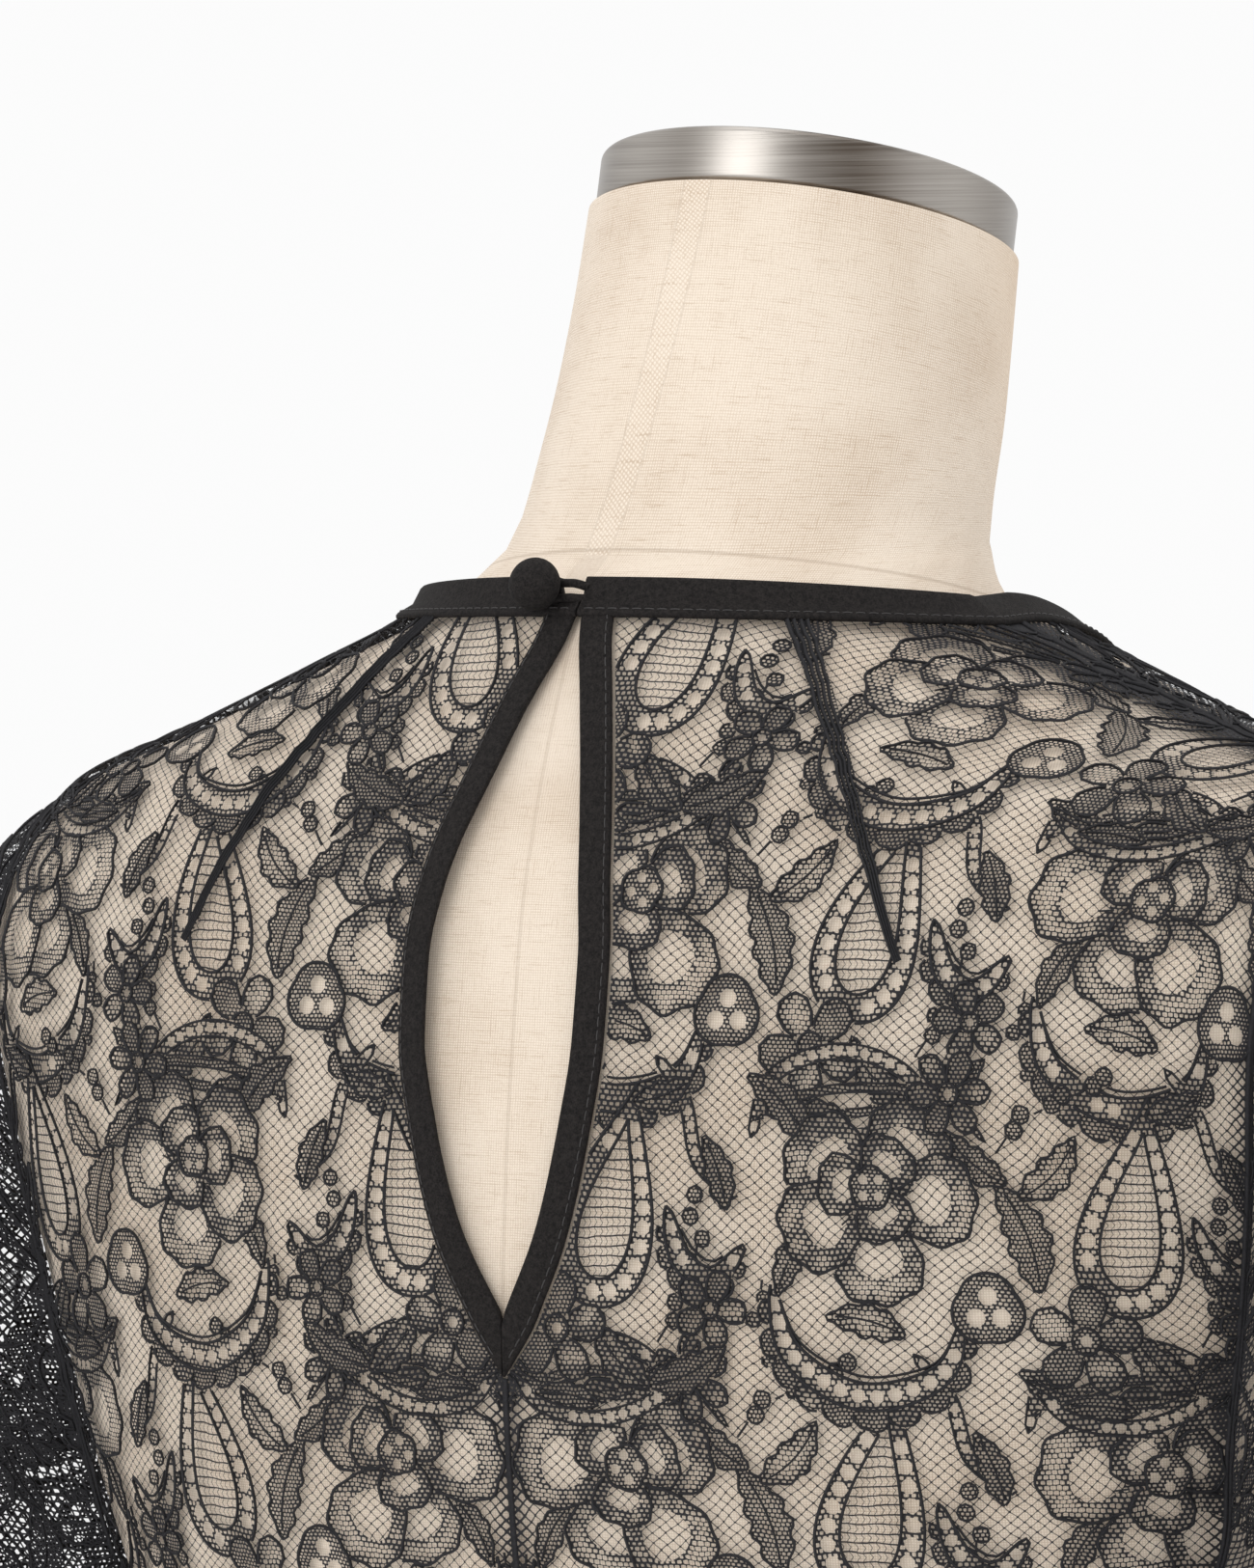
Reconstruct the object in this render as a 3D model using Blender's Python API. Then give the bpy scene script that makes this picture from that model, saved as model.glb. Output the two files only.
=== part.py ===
"""Lace top on a limbless dress form.

Metres, +Z up. The front faces -Y, the wearer's right is -X, and the origin is the middle of
the form's flat base. Sizes below are in millimetres and become metres where meshes are made.
"""

import math

import bpy
import numpy as np
from mathutils import Vector, geometry

MM = 0.001

# Cloth
WALL = 1.0
BINDING_WALL = 1.9
CLEARANCE = 1.3
SEAM_GAP = 0.3
HEM_HEIGHT = 62.0
GRAIN_HEIGHT = 452.0

# Neckline
NECKLINE_HALF = 77.5
NECKLINE_BACK_HEIGHT = 620.0
NECKLINE_BACK_DIP = 5.5
NECKLINE_DIP_POWER = 2.3
NECKLINE_FRONT_HEIGHT = 565.0
NECK_MIDDLE = np.array([0.0, -30.0, 640.0])
BINDING_HEIGHT = 7.4
BINDING_UPRIGHT = 0.6
BAND_ROWS = 54
TAB_HEIGHT = 3.7
TAB_END = 5.5

# Back darts, from the neckline down and outwards
DART_TOP = (48.0, 617.5)
DART_END = (96.0, 542.0)
DART_WIDTH = 4.0
DART_HEIGHT = 0.7

# Button and loop
BUTTON_RADIUS = 6.3
BUTTON_SQUASH = 0.88
BUTTON_X = 8.4
BUTTON_RISE = 1.7
SHANK_RADIUS = 1.1
SHANK_LENGTH = 1.5
CORD_RADIUS = 0.65
CORD_APART = 1.55
EYE_RADIUS = 2.3

# Armhole and sleeve
ARMHOLE_TOP = 573.0
ARMHOLE_BOTTOM = 378.0
ARMHOLE_CENTRE = np.array([190.0, -5.0, 476.0])
SLEEVE_END = 215.0
SLEEVE_CENTRE = (191.0, 3.0)
SLEEVE_HALF_THICKNESS = 24.0
SLEEVE_HALF_WIDTH = 72.0
SLEEVE_GIRTH = 337.0

# Neck of the form and its metal cap
CAP_HALF = 50.1
CAP_DEPTH = 53.6
CAP_HEIGHT = 13.5
CAP_EDGE = 1.4
NECK_LEAN = math.radians(15.3)

# Horizontal sections of the torso: the form, and the cloth that lies on it or hangs from it.
# side is the y of the widest line; power is 2 on an ellipse and more on a squarer section.
SECTION_COLUMNS = (
    "height", "form_half", "form_back", "form_front",
    "cloth_half", "cloth_back", "cloth_front", "side", "power",
)
SECTIONS = (
    (0, 163, 108, -104, 173, 118, -114, 0, 2.2),
    (55, 166, 109, -105, 174, 118, -114, 0, 2.2),
    (110, 158, 99, -101, 169, 111, -111, 0, 2.2),
    (165, 138, 79, -94, 156, 97, -107, 0, 2.2),
    (235, 115, 56, -86, 140, 76, -102, 0, 2.2),
    (300, 129, 66, -104, 143, 76, -112, -2, 2.2),
    (350, 147, 78, -118, 149, 81, -120, -4, 2.2),
    (378, 156, 83, -122, 156, 83, -122, -5, 2.2),
    (410, 164, 88, -120, 164, 88, -120, -5, 2.3),
    (452, 178, 90.5, -113, 178, 90.5, -113, -5, 2.2),
    (490, 186, 88, -107, 186, 88, -107, -5, 2.4),
    (530, 190, 82.5, -99, 190, 82.5, -99, -6, 2.75),
    (552, 187, 78.5, -95, 187, 78.5, -95, -8, 2.6),
    (573, 173, 72, -91, 173, 72, -91, -10, 2.3),
    (590, 134, 65.5, -89, 134, 65.5, -89, -10, 2.1),
    (603, 104, 59.5, -88, 104, 59.5, -88, -10, 2.0),
    (613, 81, 54.5, -87.5, 81, 54.5, -87.5, -11, 2.0),
    (620, 70, 50, -87.5, 70, 50, -87.5, -14, 2.0),
    (632, 62, 33.5, -90, 62, 33.5, -90, -26, 2.0),
)

# Leaning sections of the neck: lean is in degrees
NECK_COLUMNS = ("height", "side", "half", "back", "front", "lean")
NECK_SECTIONS = (
    (646, -35, 58.5, 57.5, 56, 5),
    (665, -43, 55, 56, 54.5, 11),
    (686, -49.6, 52.8, 54.8, 54.2, 15.3),
    (705.4, -54.9, 51.9, 54.6, 54.6, 15.3),
)

# Heights of the form's rings, closer where it bends more
FORM_HEIGHTS = (
    0, 28, 55, 82, 110, 137, 165, 200, 235, 268, 300, 325, 350, 378, 410, 432, 452, 472, 490,
    510, 530, 542, 552, 560, 567, 573, 579, 585, 591, 597, 603, 608, 613, 617, 621, 626, 632,
)

# Half widths of the keyhole opening, at heights down from the neckline
KEYHOLE_COLUMNS = ("height", "right", "left")
KEYHOLE = (
    (620, 0.4, 0.4),
    (613, 1.8, 1.4),
    (600, 5.5, 6.2),
    (583, 9.8, 11.8),
    (560, 13.8, 19.6),
    (540, 16.0, 22.8),
    (522, 15.8, 22.6),
    (505, 13.8, 19.2),
    (480, 8.6, 11.8),
    (459, 0.15, 0.15),
)
KEYHOLE_TIP = 445.0
KEYHOLE_BINDING = 8.2
KEYHOLE_LIFT = 3.0
LIFT_REACH = 16.0

# Half widths of the bodice at the armhole seam
ARMHOLE_COLUMNS = ("height", "back", "front")
ARMHOLE = (
    (378, 156, 156),
    (385, 149, 147),
    (395, 150, 146),
    (410, 154, 149),
    (430, 157.3, 152),
    (450, 161, 156),
    (490, 167, 163),
    (530, 170.5, 168.5),
    (573, 173, 173),
)

# How the sleeve leaves the armhole: its direction, y outwards from the sleeve, and its first reach
SLEEVE_STARTS = {
    "top": ((0.93, 0.0, -0.37), 61.0),
    "side": ((0.72, 0.42, -0.55), 48.0),
    "under": ((0.6, 0.0, -0.8), 36.0),
}

# Lace repeat: sprays in columns that drop by half in turn, each with its large eyelets, given
# across and up from the spray's middle
REPEAT_WIDTH = 63.0
REPEAT_HEIGHT = 132.0
REPEAT_START = (63.0, 90.0)
EYELETS = ((-10.4, -13.6), (-4.6, -13.6), (-7.5, -8.6))
EYELET_RADIUS = 2.25
EYELET_MARGIN = 6.0

# Spacing of the flat patterns' points
RING_POINTS = 32
GRAIN_TO_FREE = -100.0
FINE_SPACING = 17.2
COARSE_SPACING = 34.0
EDGE_SPACING = 15.0
CURVE_SPACING = 8.0


def smooth(heights, values, at):
    """Smooth, never overshooting curve through a table's column."""
    heights = np.asarray(heights, float)
    values = np.asarray(values, float)
    steps = np.diff(heights)
    slopes = np.diff(values) / steps
    bends = np.empty_like(values)
    bends[0] = slopes[0]
    bends[-1] = slopes[-1]
    first = 2 * steps[1:] + steps[:-1]
    second = steps[1:] + 2 * steps[:-1]
    same = slopes[:-1] * slopes[1:] > 0
    before = np.where(same, slopes[:-1], 1.0)
    after = np.where(same, slopes[1:], 1.0)
    mean = (first + second) / (first / before + second / after)
    bends[1:-1] = np.where(same, mean, 0.0)
    at = np.clip(at, heights[0], heights[-1])
    i = np.clip(np.searchsorted(heights, at, side="right") - 1, 0, len(steps) - 1)
    t = (at - heights[i]) / steps[i]
    start = (1 + 2 * t) * (1 - t) ** 2 * values[i] + t * (1 - t) ** 2 * steps[i] * bends[i]
    end = t * t * (3 - 2 * t) * values[i + 1] + t * t * (t - 1) * steps[i] * bends[i + 1]
    return start + end


def column(table, names, name):
    return np.array([row[names.index(name)] for row in table], float)


def section(name, height):
    """A column of SECTIONS at a height."""
    heights = column(SECTIONS, SECTION_COLUMNS, "height")
    return smooth(heights, column(SECTIONS, SECTION_COLUMNS, name), height)


def keyhole_half(side, height):
    """Half width of the keyhole opening; side is right or left."""
    rows = KEYHOLE[::-1]
    heights = column(rows, KEYHOLE_COLUMNS, "height")
    return smooth(heights, column(rows, KEYHOLE_COLUMNS, side), height)


def armhole_half(face, height):
    """Half width of the bodice at the armhole; face is 1 on the back and -1 on the front."""
    name = "back" if face > 0 else "front"
    heights = column(ARMHOLE, ARMHOLE_COLUMNS, "height")
    return smooth(heights, column(ARMHOLE, ARMHOLE_COLUMNS, name), height)


def cloth_depth(face, height):
    name = "cloth_back" if face > 0 else "cloth_front"
    return section(name, height) - section("side", height)


def cloth_y(face, x, height):
    """y of the cloth's base surface at x and a height."""
    power = section("power", height)
    inside = np.clip(1 - (np.abs(x) / section("cloth_half", height)) ** power, 0, None)
    return section("side", height) + cloth_depth(face, height) * inside ** (1 / power)


def level(x, y, z):
    """1 on the cloth's base surface, less inside it and more outside."""
    side = section("side", z)
    power = section("power", z)
    depth = np.where(y >= side, cloth_depth(1, z), -cloth_depth(-1, z))
    across = (np.abs(x) / section("cloth_half", z)) ** power
    return across + (np.abs(y - side) / depth) ** power


def outward(points):
    """Unit normals of the cloth's base surface."""
    x, y, z = points.T
    step = 0.4
    slope = np.stack(
        [
            level(x + step, y, z) - level(x - step, y, z),
            level(x, y + step, z) - level(x, y - step, z),
            level(x, y, z + step) - level(x, y, z - step),
        ],
        axis=1,
    )
    return slope / np.linalg.norm(slope, axis=1)[:, None]


def ring_arc(face, height, samples=120):
    """Points of half a section from its centre line to its widest line, with the arc to each."""
    turn = np.linspace(0, math.pi / 2, samples)
    power = section("power", height)
    x = section("cloth_half", height) * np.sin(turn) ** (2 / power)
    y = section("side", height) + cloth_depth(face, height) * np.cos(turn) ** (2 / power)
    arc = np.concatenate([[0], np.cumsum(np.hypot(np.diff(x), np.diff(y)))])
    return x, y, arc


def ridge_height(x):
    """Height of the shoulder line at x."""
    heights = np.linspace(ARMHOLE_TOP - 20, SECTIONS[-1][0], 240)
    return np.interp(-np.abs(x), -section("cloth_half", heights), heights)


def rise_arc(face, x, samples=90):
    """Points straight up the cloth from the grain line to the shoulder, with the arc to each."""
    share = np.linspace(0, 1, samples)
    top = ridge_height(x)
    z = GRAIN_HEIGHT + (top - GRAIN_HEIGHT) * (1 - (1 - share) ** 2)
    y = cloth_y(face, np.full(samples, x), z)
    arc = np.concatenate([[0], np.cumsum(np.hypot(np.diff(z), np.diff(y)))])
    return z, y, arc


GRAIN_ARCS = {face: ring_arc(face, GRAIN_HEIGHT) for face in (1, -1)}


def flat_place(face, x, height):
    """A bodice point's place in the flat cloth: out from the centre, up from the grain line."""
    if height >= GRAIN_HEIGHT:
        ring_x, _, arc = GRAIN_ARCS[face]
        z, _, rise = rise_arc(face, x)
        return float(np.interp(x, ring_x, arc)), float(np.interp(height, z, rise))
    ring_x, _, arc = ring_arc(face, height)
    return float(np.interp(x, ring_x, arc)), height - GRAIN_HEIGHT


def base_point(face, out, up):
    """The point of the cloth's base surface at a place in the flat cloth."""
    sign = -1.0 if out < 0 else 1.0
    if up > 0:
        ring_x, _, arc = GRAIN_ARCS[face]
        x = np.interp(abs(out), arc, ring_x)
        z, y, rise = rise_arc(face, x)
        return sign * x, np.interp(up, rise, y), np.interp(up, rise, z)
    height = GRAIN_HEIGHT + up
    ring_x, y, arc = ring_arc(face, height)
    return sign * np.interp(abs(out), arc, ring_x), np.interp(abs(out), arc, y), height


def lift(points):
    """How far the cloth stands off the form beside the keyhole's left edge."""
    x, y, z = points.T
    beyond = x - keyhole_half("left", z)
    top, low = KEYHOLE[1][0], KEYHOLE[-1][0]
    along = np.clip((z - low) / (top - low), 0, 1)
    fade = np.clip(1 - beyond / LIFT_REACH, 0, 1) ** 2
    left = (x > 0) & (y > 0)
    return np.where(left, KEYHOLE_LIFT * np.sin(math.pi * along) * fade, 0.0)


def bodice(face):
    """The bodice's surface as a function of flat places, for front (-1) or back (1)."""

    def surface(flat):
        points = np.array([base_point(face, out, up) for out, up in flat])
        normals = outward(points)
        return points + normals * lift(points)[:, None], normals

    return surface


def inside(polygon, points):
    """Which points lie inside a closed polygon."""
    x, y = points.T
    found = np.zeros(len(points), bool)
    for (ax, ay), (bx, by) in zip(polygon, np.roll(polygon, -1, axis=0)):
        crosses = (ay > y) != (by > y)
        run = by - ay if by != ay else 1.0
        found ^= crosses & (x < (bx - ax) * (y - ay) / run + ax)
    return found


def evenly(line, spacing):
    """A polyline's points respaced evenly, both ends kept."""
    line = np.asarray(line, float)
    arc = np.concatenate([[0], np.cumsum(np.linalg.norm(np.diff(line, axis=0), axis=1))])
    count = max(2, int(round(arc[-1] / spacing)) + 1)
    at = np.linspace(0, arc[-1], count)
    return np.stack([np.interp(at, arc, line[:, 0]), np.interp(at, arc, line[:, 1])], axis=1)


def outline_of(sides):
    """One anticlockwise outline from lines that follow each other, each with its own spacing."""
    loop = np.concatenate([evenly(line, spacing)[:-1] for line, spacing in sides])
    after = np.roll(loop, -1, axis=0)
    area = (loop[:, 0] * after[:, 1] - loop[:, 1] * after[:, 0]).sum()
    return loop if area > 0 else loop[::-1]


def lattice(outline, spacing_at):
    """Inner points in rows that are closer where the surface bends more."""
    low = outline.min(axis=0)
    high = outline.max(axis=0)
    rows = []
    up = low[1]
    shifted = False
    while up < high[1]:
        spacing = spacing_at(up)
        start = low[0] + (spacing / 2 if shifted else 0)
        across = np.arange(start, high[0], spacing)
        rows.append(np.stack([across, np.full(len(across), up)], axis=1))
        up += spacing * 0.87
        shifted = not shifted
    return np.concatenate(rows)


def clear_of(points, others, distance):
    """The points that lie further than a distance from all the others."""
    if len(others) == 0:
        return points
    gaps = np.linalg.norm(points[:, None] - np.asarray(others)[None], axis=2).min(axis=1)
    return points[gaps > distance]


def flat_mesh(outline, holes, folds, spacing_at):
    """Triangles of a flat pattern, its holes left open and its folds kept as edges."""
    middles = [hole.mean(axis=0) for hole in holes]
    inner = lattice(outline, spacing_at)
    inner = inner[inside(outline, inner)]
    inner = clear_of(inner, outline, 0.5 * EDGE_SPACING)
    inner = clear_of(inner, middles, EYELET_RADIUS + 3.0)
    inner = clear_of(inner, np.concatenate(folds) if folds else [], 3.0)
    points = [Vector(p) for p in outline]
    faces = [list(range(len(outline)))]
    for hole in holes:
        faces.append(list(range(len(points), len(points) + len(hole))))
        points += [Vector(p) for p in hole]
    edges = []
    for fold in folds:
        edges += [(len(points) + i, len(points) + i + 1) for i in range(len(fold) - 1)]
        points += [Vector(p) for p in fold]
    points += [Vector(p) for p in inner]
    found, _, triangles, _, _, sources = geometry.delaunay_2d_cdt(points, edges, faces, 0, 1e-5)
    kept = [tri for tri, source in zip(triangles, sources) if list(source) == [0]]
    used = sorted({i for tri in kept for i in tri})
    index = {old: new for new, old in enumerate(used)}
    flat = np.array([found[i] for i in used])
    return flat, [tuple(index[i] for i in tri) for tri in kept]


def rim_of(triangles):
    """Edges that belong to one triangle, in that triangle's direction."""
    edges = {}
    for a, b, c in triangles:
        for edge in ((a, b), (b, c), (c, a)):
            edges[edge] = True
    return [edge for edge in edges if (edge[1], edge[0]) not in edges]


def material(name, colour, roughness, metallic=0.0):
    found = bpy.data.materials.new(name)
    found.use_nodes = True
    shader = found.node_tree.nodes["Principled BSDF"]
    shader.inputs["Base Color"].default_value = (*colour, 1.0)
    shader.inputs["Roughness"].default_value = roughness
    shader.inputs["Metallic"].default_value = metallic
    return found


def add_object(name, points, faces, finish):
    """A named object from points in millimetres, with its faces' normals turned outwards."""
    mesh = bpy.data.meshes.new(name)
    mesh.from_pydata([tuple(float(c) * MM for c in p) for p in points], [], faces)
    mesh.materials.append(finish)
    mesh.shade_smooth()
    mesh.set_sharp_from_angle(angle=math.radians(40))
    found = bpy.data.objects.new(name, mesh)
    bpy.context.collection.objects.link(found)
    return found


def add_wall(name, flat, triangles, surface, low, high, finish):
    """A closed wall from a flat mesh: low and high are its faces' heights over the surface."""
    points, normals = surface(flat)
    a, b, c = (points[[tri[k] for tri in triangles]] for k in range(3))
    facing = (np.cross(b - a, c - a) * normals[[tri[0] for tri in triangles]]).sum(axis=1)
    if np.median(facing) < 0:
        triangles = [tri[::-1] for tri in triangles]
    count = len(points)
    low = np.broadcast_to(low, count)
    high = np.broadcast_to(high, count)
    outer = points + normals * high[:, None]
    inner = points + normals * low[:, None]
    faces = list(triangles)
    faces += [tuple(i + count for i in tri[::-1]) for tri in triangles]
    for start, end in rim_of(triangles):
        faces.append((end, start, start + count))
        faces.append((end, start + count, end + count))
    return add_object(name, np.concatenate([outer, inner]), faces, finish)


def add_loft(name, rings, finish):
    """A closed solid through rings of equal counts, its two ends filled."""
    count = len(rings[0])
    faces = [tuple(reversed(range(count)))]
    for row in range(len(rings) - 1):
        low, high = row * count, (row + 1) * count
        for i in range(count):
            j = (i + 1) % count
            faces.append((low + i, low + j, high + j, high + i))
    last = (len(rings) - 1) * count
    faces.append(tuple(range(last, last + count)))
    return add_object(name, np.concatenate(rings), faces, finish)


def add_strip(name, rows, finish):
    """A closed bar through four-cornered rows."""
    return add_loft(name, [np.asarray(row, float) for row in rows], finish)


def eyelets_in(outline):
    """Six-sided holes of the lace's large eyelets that lie well inside a pattern."""
    low = outline.min(axis=0)
    high = outline.max(axis=0)
    start_out, start_up = REPEAT_START
    turns = np.arange(6) * math.pi / 3
    circle = EYELET_RADIUS * np.stack([np.cos(turns), np.sin(turns)], axis=1)
    edge = evenly(np.vstack([outline, outline[:1]]), 3.0)
    holes = []
    columns = range(
        math.floor((low[0] - start_out) / REPEAT_WIDTH),
        1 + math.ceil((high[0] - start_out) / REPEAT_WIDTH),
    )
    for i in columns:
        drop = REPEAT_HEIGHT / 2 if i % 2 else 0.0
        first = math.floor((low[1] - start_up - drop) / REPEAT_HEIGHT)
        last = math.ceil((high[1] - start_up - drop) / REPEAT_HEIGHT)
        for j in range(first, last + 1):
            spray = np.array([start_out + i * REPEAT_WIDTH, start_up + drop + j * REPEAT_HEIGHT])
            for eyelet in EYELETS:
                centre = spray + eyelet
                room = np.linalg.norm(edge - centre, axis=1).min()
                if room > EYELET_MARGIN and inside(outline, centre[None])[0]:
                    holes.append(centre + circle)
    return holes


def spacing_at(up):
    return FINE_SPACING if up > GRAIN_TO_FREE else COARSE_SPACING


def neckline_height(face, x):
    """Height of the lace's edge under the neck binding."""
    share = np.clip(abs(x) / NECKLINE_HALF, 0, 1)
    if face > 0:
        return NECKLINE_BACK_HEIGHT - NECKLINE_BACK_DIP * share**NECKLINE_DIP_POWER
    rise = ridge_height(NECKLINE_HALF) - NECKLINE_FRONT_HEIGHT
    return NECKLINE_FRONT_HEIGHT + rise * (1 - math.sqrt(1 - share * share))


def shoulder_line(face):
    """Flat places along the shoulder seam, from the neckline out to the armhole."""
    tops = []
    for x in np.linspace(NECKLINE_HALF, armhole_half(face, ARMHOLE_TOP), 12):
        out, up = flat_place(face, x, ridge_height(x))
        tops.append((out, up - SEAM_GAP / 2))
    return tops


def armhole_line(face):
    """Flat places down the armhole, from the shoulder seam to the side seam."""
    heights = np.linspace(ARMHOLE_TOP, ARMHOLE_BOTTOM, 40)
    places = [flat_place(face, float(armhole_half(face, z)), z) for z in heights[1:-1]]
    return [shoulder_line(face)[-1], *places, side_line(face)[0]]


def side_line(face):
    """Flat places down the side seam, from the armhole to the hem."""
    places = []
    for height in np.linspace(ARMHOLE_BOTTOM, HEM_HEIGHT, 20):
        _, _, arc = ring_arc(face, height)
        places.append((arc[-1] - SEAM_GAP / 2, height - GRAIN_HEIGHT))
    return places


def keyhole_edges(side):
    """Flat places down the opening's edge and down the outer edge of its binding."""
    heights = np.linspace(KEYHOLE[0][0] - 1.2, KEYHOLE[-1][0], 26)
    inner = np.array([flat_place(1, float(keyhole_half(side, z)), z) for z in heights])
    run = np.gradient(inner, axis=0)
    run /= np.linalg.norm(run, axis=1)[:, None]
    outer = inner + KEYHOLE_BINDING * np.stack([-run[:, 1], run[:, 0]], axis=1)
    tip = KEYHOLE_TIP - GRAIN_HEIGHT
    keep = outer[:, 1] > tip + 4
    inner, outer = inner[keep], outer[keep]
    inner = np.vstack([inner, [SEAM_GAP / 2, inner[-1][1] - 1.0]])
    outer = np.vstack([outer, [SEAM_GAP / 2, tip]])
    return inner, outer


def back_outline(side):
    """Outline of a back panel, with the outer edge of its keyhole binding cut away."""
    _, outer = keyhole_edges(side)
    cut = outer + [3 * SEAM_GAP, 0.0]
    cut[-1] = (SEAM_GAP / 2, outer[-1][1] - SEAM_GAP)
    neck = [
        flat_place(1, x, neckline_height(1, x))
        for x in NECKLINE_HALF * np.sin(np.linspace(0, math.pi / 2, 24))
    ]
    first = flat_place(1, cut[0][0], neckline_height(1, cut[0][0]))
    cut = cut[cut[:, 1] < first[1] - 2]
    centre = [(SEAM_GAP / 2, HEM_HEIGHT - GRAIN_HEIGHT), tuple(cut[-1])]
    neck = [first, *[place for place in neck if place[0] > first[0] + 4]]
    neck[-1] = shoulder_line(1)[0]
    hem = [side_line(1)[-1], centre[0]]
    edge = [*map(tuple, cut[::-1]), first]
    return outline_of([
        (centre, EDGE_SPACING),
        (edge, CURVE_SPACING),
        (neck, CURVE_SPACING),
        (shoulder_line(1), EDGE_SPACING),
        (armhole_line(1), CURVE_SPACING),
        (side_line(1), EDGE_SPACING),
        (hem, EDGE_SPACING),
    ])


def front_outline():
    """Outline of the front, cut in one piece."""
    neck = [
        flat_place(-1, x, neckline_height(-1, x))
        for x in NECKLINE_HALF * np.sin(np.linspace(0, math.pi / 2, 24))
    ]
    neck[-1] = shoulder_line(-1)[0]
    hem = [side_line(-1)[-1], (0.0, HEM_HEIGHT - GRAIN_HEIGHT)]
    half = [
        (neck, CURVE_SPACING),
        (shoulder_line(-1), EDGE_SPACING),
        (armhole_line(-1), CURVE_SPACING),
        (side_line(-1), EDGE_SPACING),
        (hem, EDGE_SPACING),
    ]
    other = [(np.array(line)[::-1] * [-1, 1], spacing) for line, spacing in half[::-1]]
    return outline_of([*half, *other])


def add_front(finish):
    outline = front_outline()
    flat, triangles = flat_mesh(outline, eyelets_in(outline), [], spacing_at)
    add_wall("front", flat, triangles, bodice(-1), CLEARANCE, CLEARANCE + WALL, finish)


def dart_lines():
    """The dart's fold and its two feet, as flat places."""
    start = np.array(flat_place(1, *DART_TOP)) - [0, 4.0]
    end = np.array(flat_place(1, *DART_END))
    along = (end - start) / np.linalg.norm(end - start)
    across = np.array([-along[1], along[0]])
    share = np.linspace(0, 1, 6)[:, None]
    fold = start + (end - start) * share
    foot = across * DART_WIDTH / 2 * (1 - 0.75 * share)
    return fold, fold + foot, fold - foot


def add_back(name, sign, side, finish):
    """A back panel; sign is -1 on the wearer's right and 1 on the left."""
    outline = back_outline(side)
    lines = dart_lines()
    holes = [
        hole for hole in eyelets_in(outline)
        if np.linalg.norm(lines[0] - hole.mean(axis=0), axis=1).min() > 9
    ]
    flat, triangles = flat_mesh(outline, holes, list(lines), spacing_at)
    high = np.full(len(flat), CLEARANCE + WALL)
    fold = evenly(lines[0], 1.0)
    gaps = np.linalg.norm(flat[:, None] - fold[None], axis=2)
    share = gaps.argmin(axis=1) / (len(fold) - 1)
    high += np.where(gaps.min(axis=1) < 0.3, DART_HEIGHT * (1 - 0.8 * share), 0.0)
    surface = bodice(1)

    def turned(places):
        return surface(places * [sign, 1])

    add_wall(name, flat, triangles, turned, CLEARANCE, high, finish)


def add_keyhole_binding(name, sign, side, finish):
    """The crepe strip down one edge of the keyhole."""
    inner, outer = keyhole_edges(side)
    surface = bodice(1)
    rows = []
    for a, b in zip(inner, outer):
        places = np.array([a, b]) * [sign, 1]
        points, normals = surface(places)
        low = points + normals * CLEARANCE
        high = points + normals * (CLEARANCE + BINDING_WALL)
        rows.append([low[0], high[0], high[1], low[1]])
    if sign < 0:
        rows = [row[::-1] for row in rows]
    add_strip(name, rows, finish)


def neckline_point(turn):
    """Point of the neckline at a turn from the centre back."""
    x = NECKLINE_HALF * math.sin(turn)
    face = 1 if math.cos(turn) > 0 else -1
    height = neckline_height(face, x)
    return np.array([x, float(cloth_y(face, np.array(x), np.array(height))), height])


def band_frame(turn):
    """Foot of the neck band at a turn from the centre back, with the band's up and out directions."""
    point = neckline_point(turn)
    normal = outward(point[None])[0]
    along = neckline_point(turn + 0.04) - neckline_point(turn - 0.04)
    along -= normal * along.dot(normal)
    along /= np.linalg.norm(along)
    inwards = np.cross(normal, along)
    inwards *= np.sign(inwards.dot(NECK_MIDDLE - point))
    upright = BINDING_UPRIGHT * np.clip((math.cos(turn) + 0.4) / 0.8, 0, 1)
    up = (1 - upright) * inwards + upright * np.array([0.0, 0.0, 1.0])
    up -= along * up.dot(along)
    up /= np.linalg.norm(up)
    out = np.cross(up, along)
    out *= np.sign(out.dot(normal))
    shift = SEAM_GAP + 0.4 + max(0.0, -out.dot(inwards)) * BINDING_WALL
    return point + normal * CLEARANCE + inwards * shift, up, out


def add_neck_binding(finish):
    """The crepe band round the neck, open at the centre back, with a low tab under the button."""
    first = math.asin(SEAM_GAP / NECKLINE_HALF)
    last = 2 * math.pi - first
    turns = np.linspace(0.12, last, 400)
    line = np.array([neckline_point(turn) for turn in turns])
    arc = np.concatenate([[0], np.cumsum(np.linalg.norm(np.diff(line, axis=0), axis=1))])
    turns = np.interp(np.linspace(0, arc[-1], BAND_ROWS), arc, turns)
    turns = np.concatenate([np.linspace(first, 0.1, 5), turns])
    rows = []
    for turn in turns:
        foot, up, out = band_frame(turn)
        past = np.clip((abs(foot[0]) - TAB_END) / 2, 0, 1) if turn < 1 else 1.0
        head = foot + up * (TAB_HEIGHT + (BINDING_HEIGHT - TAB_HEIGHT) * past)
        rows.append([foot, foot + out * BINDING_WALL, head + out * BINDING_WALL, head])
    add_strip("neck_binding", rows, finish)


def button_frame():
    """Where the button is sewn on the band's face, with the band's side, up and out directions."""
    foot, up, out = band_frame(math.asin(BUTTON_X / NECKLINE_HALF))
    side = np.cross(up, out)
    return foot + up * BUTTON_RISE + out * (BINDING_WALL + SEAM_GAP), side, up, out


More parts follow.
